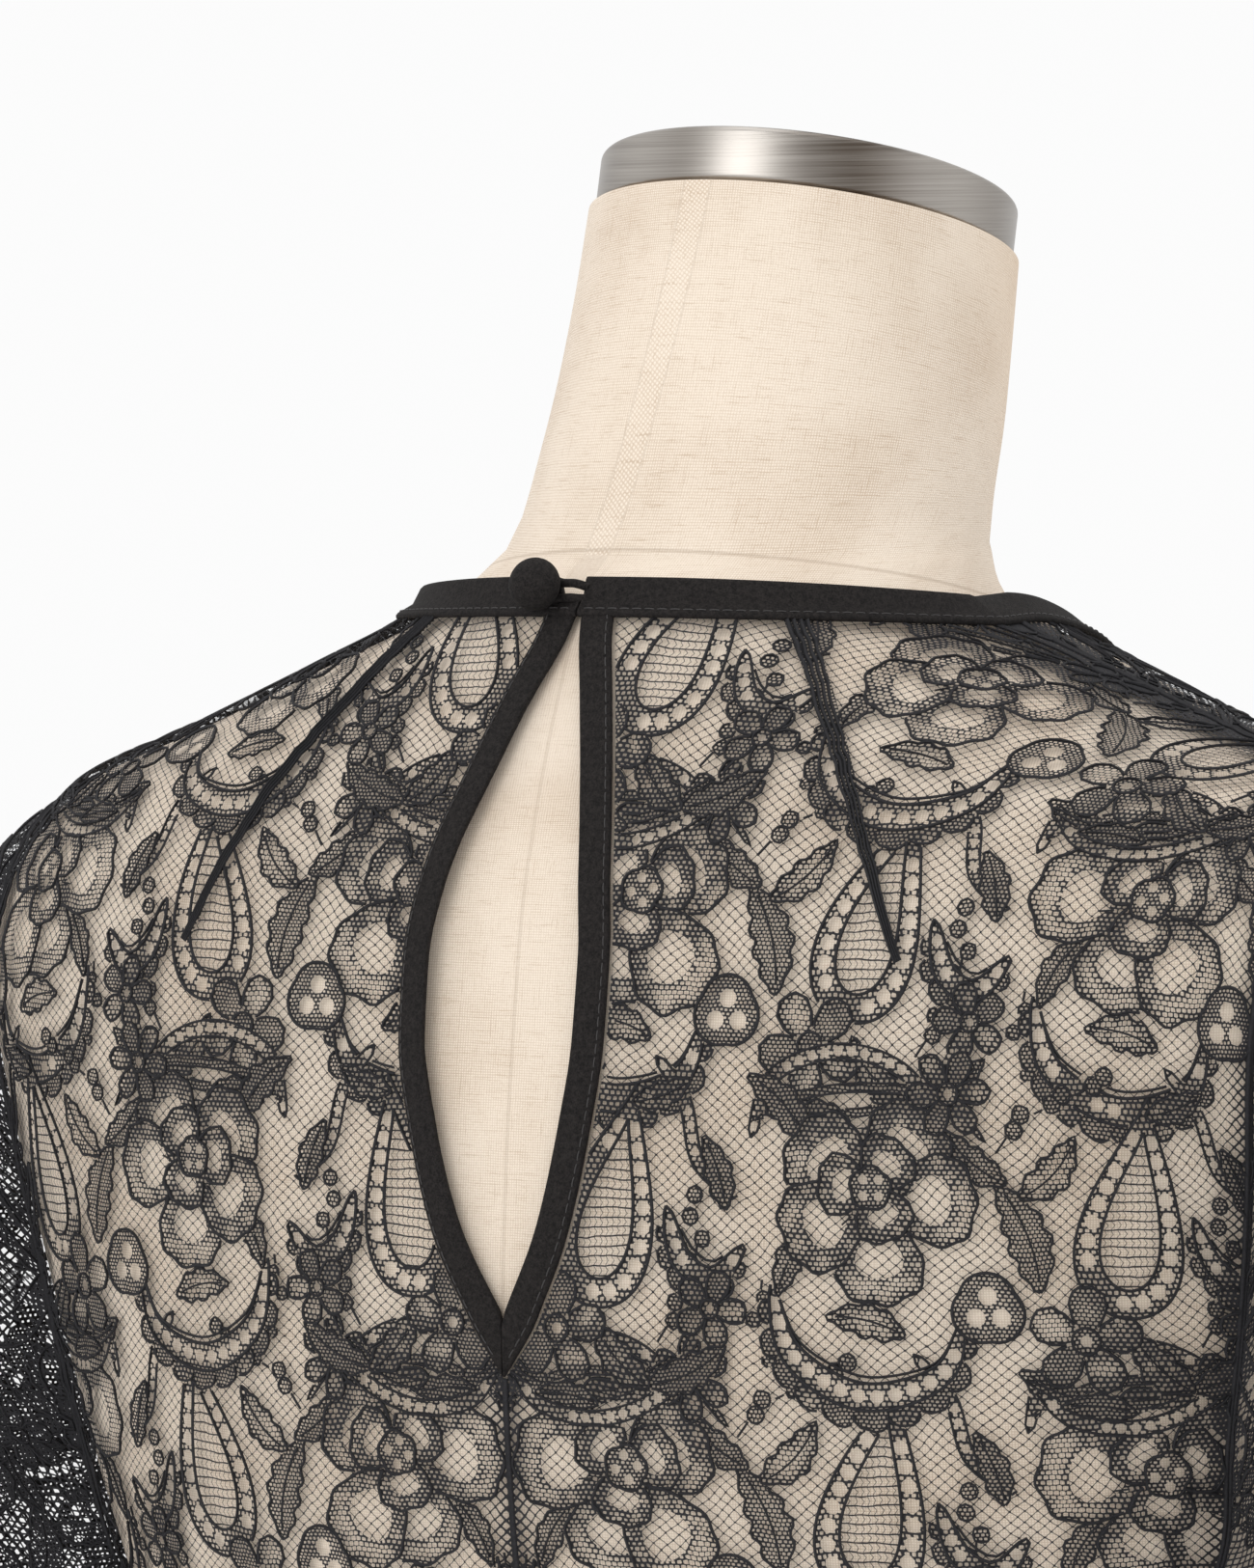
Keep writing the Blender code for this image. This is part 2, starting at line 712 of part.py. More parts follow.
def add_button(finish):
    """The covered ball button with its shank."""
    seat, side, up, out = button_frame()
    turns = np.arange(16) * 2 * math.pi / 16
    profile = [(SHANK_RADIUS, 0.0)]
    first = math.asin(SHANK_RADIUS / BUTTON_RADIUS)
    for angle in np.linspace(first, math.pi * 0.96, 11):
        rise = BUTTON_RADIUS * BUTTON_SQUASH * (math.cos(first) - math.cos(angle))
        profile.append((BUTTON_RADIUS * math.sin(angle), SHANK_LENGTH + rise))
    rings = []
    for radius, rise in profile:
        circle = np.outer(np.cos(turns), side) + np.outer(np.sin(turns), up)
        rings.append(seat + out * rise + radius * circle)
    add_loft("button", rings, finish)


def add_button_loop(finish):
    """The cord from the band's right end, round the button's shank and back."""
    seat, side, up, out = button_frame()
    foot, _, _ = band_frame(-math.asin(SEAM_GAP / NECKLINE_HALF))
    reach = abs((foot - seat).dot(side)) - 2 * SEAM_GAP
    towards = side * np.sign((foot - seat).dot(side))
    half = CORD_APART / 2
    opening = math.asin(half / EYE_RADIUS)
    path = [(reach, half), (reach * 0.7, half), (EYE_RADIUS + 1.6, half)]
    for turn in np.linspace(opening + 0.5, 2 * math.pi - opening - 0.5, 9):
        path.append((EYE_RADIUS * math.cos(turn), EYE_RADIUS * math.sin(turn)))
    path += [(EYE_RADIUS + 1.6, -half), (reach * 0.7, -half), (reach, -half)]
    path = np.array(path)
    rise = CORD_RADIUS + 0.1
    centre = [seat + towards * a + up * b + out * rise for a, b in path]
    ahead = np.gradient(np.array(centre), axis=0)
    turns = np.arange(8) * 2 * math.pi / 8
    rings = []
    for point, along in zip(centre, ahead):
        along = along - out * along.dot(out)
        across = np.cross(along, out)
        across /= np.linalg.norm(across)
        circle = np.outer(np.cos(turns), across) + np.outer(np.sin(turns), out)
        rings.append(point + CORD_RADIUS * circle[::-1])
    add_loft("button_loop", rings, finish)


def armhole_point(face, height):
    x = float(armhole_half(face, height))
    return np.array([x, float(cloth_y(face, np.array(x), np.array(height))), height])


def sleeve_edge(face, share):
    """Four control points of a line down the sleeve; share is 0 at the shoulder, 1 underneath."""
    middle = (ARMHOLE_TOP + ARMHOLE_BOTTOM) / 2
    half = (ARMHOLE_TOP - ARMHOLE_BOTTOM) / 2
    turn = math.pi * share
    height = middle + half * math.cos(turn)
    start = armhole_point(face, height)
    normal = outward(start[None])[0]
    into = ARMHOLE_CENTRE - start
    into = into - normal * into.dot(normal)
    into /= np.linalg.norm(into)
    low = max(0.0, -math.cos(turn))
    start = start + normal * (CLEARANCE + WALL / 2 + 1.7 * low) + into * 1.1
    top, side, under = (np.array(SLEEVE_STARTS[k][0]) for k in ("top", "side", "under"))
    reach = [SLEEVE_STARTS[k][1] for k in ("top", "side", "under")]
    weight = (max(0, math.cos(turn)) ** 2, math.sin(turn) ** 2, max(0, -math.cos(turn)) ** 2)
    direction = weight[0] * top + weight[1] * side * [1, face, 1] + weight[2] * under
    direction /= np.linalg.norm(direction)
    handle = sum(w * r for w, r in zip(weight, reach))
    end = np.array([
        SLEEVE_CENTRE[0] + SLEEVE_HALF_THICKNESS * math.cos(turn),
        SLEEVE_CENTRE[1] + SLEEVE_HALF_WIDTH * math.sin(turn) * face,
        SLEEVE_END,
    ])
    rise = 0.64 * (start[2] - SLEEVE_END)
    return start, start + direction * handle, end + np.array([0, 0, rise]), end


def sleeve_length(face, share):
    a, b, c, d = sleeve_edge(face, share)
    t = np.linspace(0, 1, 40)[:, None]
    line = (1 - t) ** 3 * a + 3 * t * (1 - t) ** 2 * b + 3 * t * t * (1 - t) * c + t**3 * d
    return float(np.linalg.norm(np.diff(line, axis=0), axis=1).sum())


def sleeve_point(face, share, down):
    a, b, c, d = sleeve_edge(face, share)
    t = down
    return (1 - t) ** 3 * a + 3 * t * (1 - t) ** 2 * b + 3 * t * t * (1 - t) * c + t**3 * d


def sleeve_surface(sign, face):
    """A half sleeve's surface over flat places: round from its top fold, up from the cuff."""
    shares = np.linspace(0, 1, 41)
    lengths = np.array([sleeve_length(face, s) for s in shares])

    def at(out, up):
        share = 2 * out / SLEEVE_GIRTH
        length = np.interp(share, shares, lengths)
        return sleeve_point(face, share, np.clip(1 - up / length, 0, 1))

    def surface(flat):
        half = SLEEVE_GIRTH / 2
        points = np.array([at(out, up) for out, up in flat])
        step = 0.8
        ahead = [at(min(out + step, half), up) for out, up in flat]
        behind = [at(max(out - step, 0), up) for out, up in flat]
        over = np.array(ahead) - np.array(behind)
        rise = np.array([at(out, up) - at(out, max(up - step, 0)) for out, up in flat])
        still = np.linalg.norm(rise, axis=1) < 1e-6
        rise[still] = [0, 0, 1]
        normals = np.cross(over, rise) * face
        normals /= np.linalg.norm(normals, axis=1)[:, None]
        turn = np.array([sign, 1.0, 1.0])
        return points * turn, normals * turn

    return surface, shares, lengths


def add_sleeve_half(name, sign, face, finish):
    """A front or back half of a sleeve, from the shoulder fold to the underarm seam."""
    surface, shares, lengths = sleeve_surface(sign, face)
    half = SLEEVE_GIRTH / 2
    edge = SEAM_GAP / 2
    cap = [(np.clip(s * half, edge, half - edge), length) for s, length in zip(shares, lengths)]
    cuff = [(half - edge, 0.0), (edge, 0.0)]
    outline = outline_of([
        ([cuff[1], cap[0]], EDGE_SPACING),
        (cap, CURVE_SPACING),
        ([cap[-1], cuff[0]], EDGE_SPACING),
        (cuff, EDGE_SPACING),
    ])
    flat, triangles = flat_mesh(outline, eyelets_in(outline), [], lambda up: 23.0)
    add_wall(name, flat, triangles, surface, -WALL / 2, WALL / 2, finish)


def form_rings():
    """Rings of the form from its base to the top of its neck."""
    turns = np.arange(RING_POINTS) * 2 * math.pi / RING_POINTS
    rings = []
    for z in FORM_HEIGHTS:
        power = section("power", z)
        x = section("form_half", z) * np.sign(np.sin(turns)) * np.abs(np.sin(turns)) ** (2 / power)
        side = section("side", z)
        depth = np.where(np.cos(turns) > 0, section("form_back", z) - side, side - section("form_front", z))
        y = side + depth * np.sign(np.cos(turns)) * np.abs(np.cos(turns)) ** (2 / power)
        rings.append(np.stack([x, y, np.full(RING_POINTS, float(z))], axis=1)[::-1])
    for height, side, half, back, front, lean in NECK_SECTIONS:
        tilt = math.radians(lean)
        depth = np.where(np.cos(turns) > 0, back, front) * np.cos(turns)
        y = side + depth * math.cos(tilt)
        z = height + depth * math.sin(tilt)
        rings.append(np.stack([half * np.sin(turns), y, z], axis=1)[::-1])
    return rings


def add_form(finish):
    add_loft("form", form_rings(), finish)


def add_cap(finish):
    """The metal cap on the neck, leaning with it."""
    turns = np.arange(36) * 2 * math.pi / 36
    _, side, _, _, _, _ = NECK_SECTIONS[-1]
    height = NECK_SECTIONS[-1][0]
    axis = np.array([0.0, -math.sin(NECK_LEAN), math.cos(NECK_LEAN)])
    foot = np.array([0.0, side, height]) + axis * SEAM_GAP
    rows = ((0.0, 0.0), (CAP_HEIGHT - CAP_EDGE, 0.0), (CAP_HEIGHT - 0.3 * CAP_EDGE, 0.3 * CAP_EDGE),
            (CAP_HEIGHT, CAP_EDGE))
    rings = []
    for rise, inset in rows:
        x = (CAP_HALF - inset) * np.sin(turns)
        deep = (CAP_DEPTH - inset) * np.cos(turns)
        across = np.stack([x, deep * math.cos(NECK_LEAN), deep * math.sin(NECK_LEAN)], axis=1)
        rings.append((foot + axis * rise + across)[::-1])
    add_loft("neck_cap", rings, finish)


def clear_scene():
    for found in list(bpy.data.objects):
        bpy.data.objects.remove(found, do_unlink=True)


def main():
    clear_scene()
    lace = material("lace", (0.022, 0.022, 0.025), 0.8)
    crepe = material("crepe", (0.012, 0.011, 0.011), 0.75)
    linen = material("linen", (0.78, 0.69, 0.56), 0.9)
    steel = material("steel", (0.55, 0.53, 0.5), 0.3, 1.0)
    add_form(linen)
    add_cap(steel)
    add_front(lace)
    add_back("back_right", -1, "right", lace)
    add_back("back_left", 1, "left", lace)
    for word, sign in (("right", -1), ("left", 1)):
        add_sleeve_half(f"sleeve_{word}_back", sign, 1, lace)
        add_sleeve_half(f"sleeve_{word}_front", sign, -1, lace)
    add_neck_binding(crepe)
    add_keyhole_binding("keyhole_binding_right", -1, "right", crepe)
    add_keyhole_binding("keyhole_binding_left", 1, "left", crepe)
    add_button(crepe)
    add_button_loop(crepe)


main()
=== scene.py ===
import math

import bmesh
import bpy
import numpy as np
from mathutils import Matrix, Vector, geometry, kdtree


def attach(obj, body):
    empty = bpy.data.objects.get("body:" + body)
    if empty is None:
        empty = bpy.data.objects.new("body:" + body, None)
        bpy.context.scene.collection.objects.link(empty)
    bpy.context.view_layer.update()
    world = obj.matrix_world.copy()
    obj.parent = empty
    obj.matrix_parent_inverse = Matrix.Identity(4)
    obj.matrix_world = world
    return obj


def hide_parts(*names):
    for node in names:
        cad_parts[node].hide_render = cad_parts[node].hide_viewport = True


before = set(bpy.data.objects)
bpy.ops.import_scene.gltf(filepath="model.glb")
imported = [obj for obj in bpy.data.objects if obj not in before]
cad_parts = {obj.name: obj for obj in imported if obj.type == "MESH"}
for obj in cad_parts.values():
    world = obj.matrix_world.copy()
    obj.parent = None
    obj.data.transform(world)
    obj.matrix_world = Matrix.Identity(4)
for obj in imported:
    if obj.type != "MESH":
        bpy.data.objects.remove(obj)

bl_info = {
    "name": "Lace Top on a Dress Form",
    "version": (1, 0, 0),
    "blender": (4, 5, 0),
    "location": "3D View > Sidebar > Lace Top",
    "description": "Builds the lace, bindings, button, linen form and studio round the packed part",
    "category": "Object",
}

MM = 0.001
TO_MM = 1000.0

# Horizontal sections of the torso in mm, as the solids have them
SECTION_COLUMNS = (
    "height", "form_half", "form_back", "form_front",
    "cloth_half", "cloth_back", "cloth_front", "side", "power",
)
SECTIONS = (
    (0, 163, 108, -104, 173, 118, -114, 0, 2.2),
    (55, 166, 109, -105, 174, 118, -114, 0, 2.2),
    (110, 158, 99, -101, 169, 111, -111, 0, 2.2),
    (165, 138, 79, -94, 156, 97, -107, 0, 2.2),
    (235, 115, 56, -86, 140, 76, -102, 0, 2.2),
    (300, 129, 66, -104, 143, 76, -112, -2, 2.2),
    (350, 147, 78, -118, 149, 81, -120, -4, 2.2),
    (378, 156, 83, -122, 156, 83, -122, -5, 2.2),
    (410, 164, 88, -120, 164, 88, -120, -5, 2.3),
    (452, 178, 90.5, -113, 178, 90.5, -113, -5, 2.2),
    (490, 186, 88, -107, 186, 88, -107, -5, 2.4),
    (530, 190, 82.5, -99, 190, 82.5, -99, -6, 2.75),
    (552, 187, 78.5, -95, 187, 78.5, -95, -8, 2.6),
    (573, 173, 72, -91, 173, 72, -91, -10, 2.3),
    (590, 134, 65.5, -89, 134, 65.5, -89, -10, 2.1),
    (603, 104, 59.5, -88, 104, 59.5, -88, -10, 2.0),
    (613, 79, 54.5, -86, 81, 54.5, -87.5, -11, 2.0),
    (620, 66, 50, -84, 70, 50, -87.5, -14, 2.0),
    (632, 58, 33.5, -83, 62, 33.5, -90, -26, 2.0),
)
# Leaning sections of the form's neck: height, side, half width, back, front, lean in degrees
NECK_SECTIONS = (
    (632, -29, 57.2, 62, 53.5, 0),
    (646, -35, 56, 57.5, 51, 5),
    (665, -43, 54.2, 56, 53, 11),
    (686, -49.6, 52.8, 54.8, 54.2, 15.3),
    (705.4, -54.9, 51.9, 54.6, 54.6, 15.3),
)
# Half widths of the keyhole's opening: height, wearer's right, wearer's left
KEYHOLE = (
    (459, 0.15, 0.15),
    (480, 8.6, 11.8),
    (505, 13.8, 19.2),
    (522, 15.8, 22.6),
    (540, 16.0, 22.8),
    (560, 13.8, 19.6),
    (583, 9.8, 11.8),
    (600, 5.5, 6.2),
    (613, 1.8, 1.4),
    (620, 0.4, 0.4),
)
# Half widths of the bodice at the armhole: height, back, front
ARMHOLE = (
    (378, 156, 156),
    (385, 149, 147),
    (395, 150, 146),
    (410, 154, 149),
    (430, 157.3, 152),
    (450, 161, 156),
    (490, 167, 163),
    (530, 170.5, 168.5),
    (573, 173, 173),
)
# How the sleeve leaves the armhole: direction and first reach
SLEEVE_STARTS = (
    ((0.93, 0.0, -0.37), 61.0),
    ((0.72, 0.42, -0.55), 48.0),
    ((0.6, 0.0, -0.8), 36.0),
)
CLEARANCE = 1.3
WALL = 1.0
BINDING_WALL = 1.9
SEAM_GAP = 0.3
CENTRE_EDGE = SEAM_GAP / 2
HEM_HEIGHT = 62.0
GRAIN_HEIGHT = 452.0
NECKLINE_HALF = 77.5
BAND_ABOVE = 5.6
BAND_BELOW = 5.6
# How far the band leans from the cloth's slope to upright, and a point inside the neck
BAND_UPRIGHT = 0.6
NECK_INSIDE = (0.0, -30.0, 640.0)
BUTTON_X = 8.4
BUTTON_RISE = 1.7
KEYHOLE_BINDING = 8.2
BUTTON_RADIUS = 6.3
BUTTON_FLATNESS = 0.88
SHANK = 1.4
STITCH_RADIUS = 0.17
CAP_HALF_WIDTH = 50.1
CAP_HALF_DEPTH = 53.6
CAP_HEIGHT = 13.5
FORM_SIDES = 128
SMOOTH_ANGLE = math.radians(50)
BACK_NECK_HEIGHT = 620.0
FRONT_NECK_HEIGHT = 565.0
KEYHOLE_TIP = 445.0
ARMHOLE_TOP = 573.0
ARMHOLE_BOTTOM = 378.0
SLEEVE_END = 215.0
SLEEVE_GIRTH = 337.0
ARMHOLE_MIDDLE = (190.0, -5.0, 476.0)
CUFF_MIDDLE = (191.0, 3.0)
CUFF_HALF = (24.0, 72.0)
DART_TOP = (48.0, 617.5)
DART_END = (96.0, 542.0)
DART_HALF = 2.7
# Shares of a dart's width at which its cords lie
DART_CORDS = (0.12, 0.37, 0.63, 0.88)
REPEAT_ACROSS = 126.0
REPEAT_UP = 132.0
REPEAT_START = (63.0, 90.0)
# Reach of a seam's turnings in mm, and how closely they fill the net
SHOULDER_SEAM = (14.0, 1.9)
FRONT_SHOULDER_SEAM = (32.0, 1.6)
PLAIN_SEAM = (6.5, 0.65)
# Spacing of the ladder net's rungs and of the slanting threads between them
RUNGS = 2.2
RUNG_THREADS = 1.6
# Large eyelets of one spray: across and up
LARGE_EYELETS = ((-10.4, -13.6), (-4.6, -13.6), (-7.5, -8.6))
LARGE_EYELET_RADIUS = 2.25
# Leaves of one spray: across, up, width, length, turn in degrees, bend, ground, lobes
LEAVES = (
    (0, 5, 11, 27, 20, 2.5, "dense", 5),
    (8, 21, 9, 20, -44, 2.0, "fine", 4),
    (-9, 23, 8, 19, 50, -1.5, "dense", 4),
    (47, -26, 9, 22, -64, 2.0, "dense", 5),
    (31, -24, 9, 20, 42, -2.0, "fine", 4),
    (16, -35, 6.5, 17, 84, 1.0, "dense", 4),
    (-57, 33, 9, 21, 46, 2.0, "dense", 4),
    (-36, -16, 8.5, 19, 78, 1.5, "fine", 4),
    (-52, -2, 7.5, 18, 150, 1.5, "dense", 4),
    (54, 18, 7.5, 18, 20, 1.0, "dense", 4),
    (40, 36, 7, 16, -70, 1.0, "fine", 4),
)
# Small flowers of one spray: across, up, radius, petals, turn in degrees from the spray's
BLOSSOMS = (
    (14, -19, 11.5, 5, 20),
    (-15, 37, 9.0, 6, 50),
    (53, -13, 8.0, 5, 5),
)
# Reach of the grids on which the bodice and the sleeves are worked out, from the grain line and cuff
BODICE_OUT = 262
BODICE_DOWN = -395
BODICE_UP = 232
SLEEVE_UP = 400
# How far the cloth stands off the form beside the keyhole's left edge, between which heights
LIFT = 3.0
LIFT_REACH = 16.0
LIFT_HEIGHTS = (459.0, 613.0)
# Spacing of the points inside a lace sheet, and which cuts go before every motif
LATTICE = 4.6
HOLE_RANK = 1000
DART_RANK = 2000
# The strip sewn up the back of the form's neck, in mm, and its sideways run for each mm down
STRIP_HALF = 3.6
STRIP_SLANT = 0.1
# Painted shade of the linen toward the front, away from the lights, and the tone along its seams
FRONT_SHADE_LINEN = (0.7, 0.48, 0.28)
SEAM_SHADOW = (0.36, 0.27, 0.19)
# Seams of the form's cover in metres: the centre back's x, then the neck's height, y and slope
CENTRE_SEAM = 0.0016
NECK_SEAM_HEIGHT = 0.6308
NECK_SEAM_Y = 0.022
NECK_SEAM_SLOPE = 0.22
# The photo's size, focal length and middle of view in pixels, and the point the camera aims at
PHOTO_SIZE = (1300, 1625)
FOCAL_PIXELS = 8977.8
PHOTO_CENTRE = (607.3, 844.9)
SENSOR = 36.0
AIM = (0.0, 0.052, 0.572)
FLOOR_TONE = (0.9, 0.9, 0.9)
WORLD_TONE = (1.0, 1.0, 1.0, 1)
WORLD_STRENGTH = 0.97
# Lights: name, distances from the aim toward the camera, to its right and up, size, energy
LIGHTS = (
    ("key", 1.6, -1.1, 0.9, (1.2, 1.4), 11.0),
    ("fill", 1.2, 1.7, 0.3, (0.9, 1.6), 1.5),
    ("top", 0.0, 0.0, 1.8, (1.6, 1.6), 6.0),
)


# Measures of the cloth


def smooth(heights, values, at):
    """Smooth curve through a table's column that never overshoots."""
    heights = np.asarray(heights, float)
    values = np.asarray(values, float)
    steps = np.diff(heights)
    slopes = np.diff(values) / steps
    bends = np.empty_like(values)
    bends[0], bends[-1] = slopes[0], slopes[-1]
    first = 2 * steps[1:] + steps[:-1]
    second = steps[1:] + 2 * steps[:-1]
    same = slopes[:-1] * slopes[1:] > 0
    before = np.where(same, slopes[:-1], 1.0)
    after = np.where(same, slopes[1:], 1.0)
    bends[1:-1] = np.where(same, (first + second) / (first / before + second / after), 0.0)
    at = np.clip(at, heights[0], heights[-1])
    i = np.clip(np.searchsorted(heights, at, side="right") - 1, 0, len(steps) - 1)
    t = (at - heights[i]) / steps[i]
    start = (1 + 2 * t) * (1 - t) ** 2 * values[i] + t * (1 - t) ** 2 * steps[i] * bends[i]
    end = t * t * (3 - 2 * t) * values[i + 1] + t * t * (t - 1) * steps[i] * bends[i + 1]
    return start + end


def table_curve(table, number, at):
    return smooth([row[0] for row in table], [row[number] for row in table], at)


def section(name, height):
    return table_curve(SECTIONS, SECTION_COLUMNS.index(name), height)


def keyhole_half(side, height):
    return table_curve(KEYHOLE, 1 if side == "right" else 2, height)


def armhole_half(face, height):
    return table_curve(ARMHOLE, 1 if face > 0 else 2, height)


def cloth_depth(face, height):
    return section("cloth_back" if face > 0 else "cloth_front", height) - section("side", height)


def cloth_y(face, x, height):
    power = section("power", height)
    within = np.clip(1 - (np.abs(x) / section("cloth_half", height)) ** power, 0, None)
    return section("side", height) + cloth_depth(face, height) * within ** (1 / power)


def level(x, y, z):
    side = section("side", z)
    power = section("power", z)
    depth = np.where(y >= side, cloth_depth(1, z), -cloth_depth(-1, z))
    return (np.abs(x) / section("cloth_half", z)) ** power + (np.abs(y - side) / depth) ** power


def outward(points):
    """Unit normals of the cloth's base surface."""
    x, y, z = points.T
    step = 0.4
    slopes = [
        level(x + step, y, z) - level(x - step, y, z),
        level(x, y + step, z) - level(x, y - step, z),
        level(x, y, z + step) - level(x, y, z - step),
    ]
    slope = np.stack(slopes, axis=1)
    return slope / np.linalg.norm(slope, axis=1)[:, None]


def lengths(line):
    return np.concatenate([[0], np.cumsum(np.linalg.norm(np.diff(line, axis=0), axis=1))])


def ring_arc(face, height):
    turn = np.linspace(0, math.pi / 2, 160)
    power = section("power", height)
    x = section("cloth_half", height) * np.sin(turn) ** (2 / power)
    y = section("side", height) + cloth_depth(face, height) * np.cos(turn) ** (2 / power)
    return x, y, lengths(np.stack([x, y], axis=1))


def ridge_height(x):
    heights = np.linspace(ARMHOLE_TOP - 20, SECTIONS[-1][0], 240)
    return np.interp(-np.abs(x), -section("cloth_half", heights), heights)


def rise_arc(face, x):
    share = np.linspace(0, 1, 90)
    z = GRAIN_HEIGHT + (ridge_height(x) - GRAIN_HEIGHT) * (1 - (1 - share) ** 2)
    y = cloth_y(face, np.full(len(share), x), z)
    return z, y, lengths(np.stack([z, y], axis=1))


def extended(*columns):
    """Columns with one more value, carried straight on past their end."""
    return [np.append(c, c[-1] + 4 * (c[-1] - c[-3])) for c in columns]


def flat_place(face, x, height):
    """A bodice point's place in the flat cloth: out from the centre, up from the grain line."""
    if height >= GRAIN_HEIGHT:
        ring_x, _, arc = ring_arc(face, GRAIN_HEIGHT)
        z, _, rise = rise_arc(face, x)
        return float(np.interp(x, ring_x, arc)), float(np.interp(height, z, rise))
    ring_x, _, arc = ring_arc(face, height)
    return float(np.interp(x, ring_x, arc)), height - GRAIN_HEIGHT


class Cloth:
    """A surface known on a grid of flat places, in mm."""

    STEP = 2.5

    def __init__(self, points, normals, low_out, low_up):
        self.points = points
        self.normals = normals
        self.low = np.array([low_out, low_up])

    def at(self, flat, height=0.0, sign=1.0):
        """Points over the flat places, raised by a height, mirrored by the sign."""
        flat = np.asarray(flat, float)
        mirror = np.where(flat[:, :1] < 0, -1.0, 1.0)
        place = (np.abs(flat[:, 0]) - self.low[0]) / self.STEP
        place = np.stack([place, (flat[:, 1] - self.low[1]) / self.STEP], axis=1)
        cell = np.clip(place.astype(int), 0, np.array(self.points.shape[:2]) - 2)
        part = place - cell

        def mixed(grid):
            i, j = cell.T
            a, b = part[:, :1], part[:, 1:]
            low = grid[i, j] * (1 - a) + grid[i + 1, j] * a
            high = grid[i, j + 1] * (1 - a) + grid[i + 1, j + 1] * a
            return low * (1 - b) + high * b

        normals = mixed(self.normals)
        normals /= np.linalg.norm(normals, axis=1)[:, None]
        points = mixed(self.points) + normals * np.reshape(height, (-1, 1))
        turn = np.concatenate([mirror * sign, np.ones_like(mirror), np.ones_like(mirror)], axis=1)
        return points * turn, normals * turn


def lift(points):
    """How far the cloth stands off the form beside the keyhole's left edge."""
    x, y, z = points.T
    low, high = LIFT_HEIGHTS
    along = np.clip((z - low) / (high - low), 0, 1)
    fade = np.clip(1 - (x - keyhole_half("left", z)) / LIFT_REACH, 0, 1) ** 2
    return np.where((x > 0) & (y > 0), LIFT * np.sin(math.pi * along) * fade, 0.0)


def bodice_cloth(face, lifted=False):
    """The front (-1) or back (1) of the bodice."""
    outs = np.arange(0, BODICE_OUT, Cloth.STEP)
    ups = np.arange(BODICE_DOWN, BODICE_UP, Cloth.STEP)
    points = np.zeros((len(outs), len(ups), 3))
    for j, up in enumerate(ups):
        if up <= 0:
            z = GRAIN_HEIGHT + up
            x, y, arc = extended(*ring_arc(face, z))
            columns = [np.interp(outs, arc, x), np.interp(outs, arc, y), np.full(len(outs), z)]
            points[:, j] = np.stack(columns, axis=1)
    ring_x, _, arc = extended(*ring_arc(face, GRAIN_HEIGHT))
    widest = section("cloth_half", GRAIN_HEIGHT) - 0.1
    above = ups > 0
    for i, out in enumerate(outs):
        x = float(np.interp(out, arc, ring_x))
        z, y, rise = extended(*rise_arc(face, min(x, widest)))
        up = ups[above]
        columns = [np.full(len(up), x), np.interp(up, rise, y), np.interp(up, rise, z)]
        points[i, above] = np.stack(columns, axis=1)
    flat = points.reshape(-1, 3)
    normals = outward(flat)
    if lifted:
        flat = flat + normals * lift(flat)[:, None]
    return Cloth(flat.reshape(points.shape), normals.reshape(points.shape), 0, ups[0])


def neckline_height(face, x):
    share = np.clip(abs(x) / NECKLINE_HALF, 0, 1)
    if face > 0:
        return BACK_NECK_HEIGHT - 5.5 * share**2.3
    rise = ridge_height(NECKLINE_HALF) - FRONT_NECK_HEIGHT
    return FRONT_NECK_HEIGHT + rise * (1 - math.sqrt(1 - share * share))


def neckline_point(turn):
    x = NECKLINE_HALF * math.sin(turn)
    face = 1 if math.cos(turn) > 0 else -1
    height = neckline_height(face, x)
    return np.array([x, float(cloth_y(face, np.array(x), np.array(height))), height])


def shoulder_line(face):
    places = [
        flat_place(face, x, ridge_height(x))
        for x in np.linspace(NECKLINE_HALF, armhole_half(face, ARMHOLE_TOP), 14)
    ]
    return np.array(places) - [0, SEAM_GAP / 2]


def side_line(face):
    return np.array([
        (ring_arc(face, z)[2][-1] - SEAM_GAP / 2, z - GRAIN_HEIGHT)
        for z in np.linspace(ARMHOLE_BOTTOM, HEM_HEIGHT, 24)
    ])


def armhole_line(face):
    heights = np.linspace(ARMHOLE_TOP, ARMHOLE_BOTTOM, 50)[1:-1]
    places = [flat_place(face, float(armhole_half(face, z)), z) for z in heights]
    return np.array([shoulder_line(face)[-1], *places, side_line(face)[0]])


def neck_line(face, start=0.0):
    turns = np.linspace(math.asin(start / NECKLINE_HALF), math.pi / 2, 30)
    places = [flat_place(face, x, neckline_height(face, x)) for x in NECKLINE_HALF * np.sin(turns)]
    places[-1] = tuple(shoulder_line(face)[0])
    return np.array(places)


def keyhole_edges(side):
    """Flat places down the opening's edge and down the outer edge of its binding."""
    heights = np.linspace(KEYHOLE[-1][0] - 1.2, KEYHOLE[0][0], 40)
    inner = np.array([flat_place(1, float(keyhole_half(side, z)), z) for z in heights])
    run = np.gradient(inner, axis=0)
    run /= np.linalg.norm(run, axis=1)[:, None]
    outer = inner + KEYHOLE_BINDING * np.stack([-run[:, 1], run[:, 0]], axis=1)
    tip = KEYHOLE_TIP - GRAIN_HEIGHT
    keep = outer[:, 1] > tip + 4
    inner = np.vstack([inner[keep], [CENTRE_EDGE, inner[keep][-1][1] - 1.0]])
    outer = np.vstack([outer[keep], [CENTRE_EDGE, tip]])
    return inner, outer


def places_at(line, arc, at):
    """Places on a line whose points have the given arc lengths."""
    return np.stack([np.interp(at, arc, column) for column in line.T], axis=1)


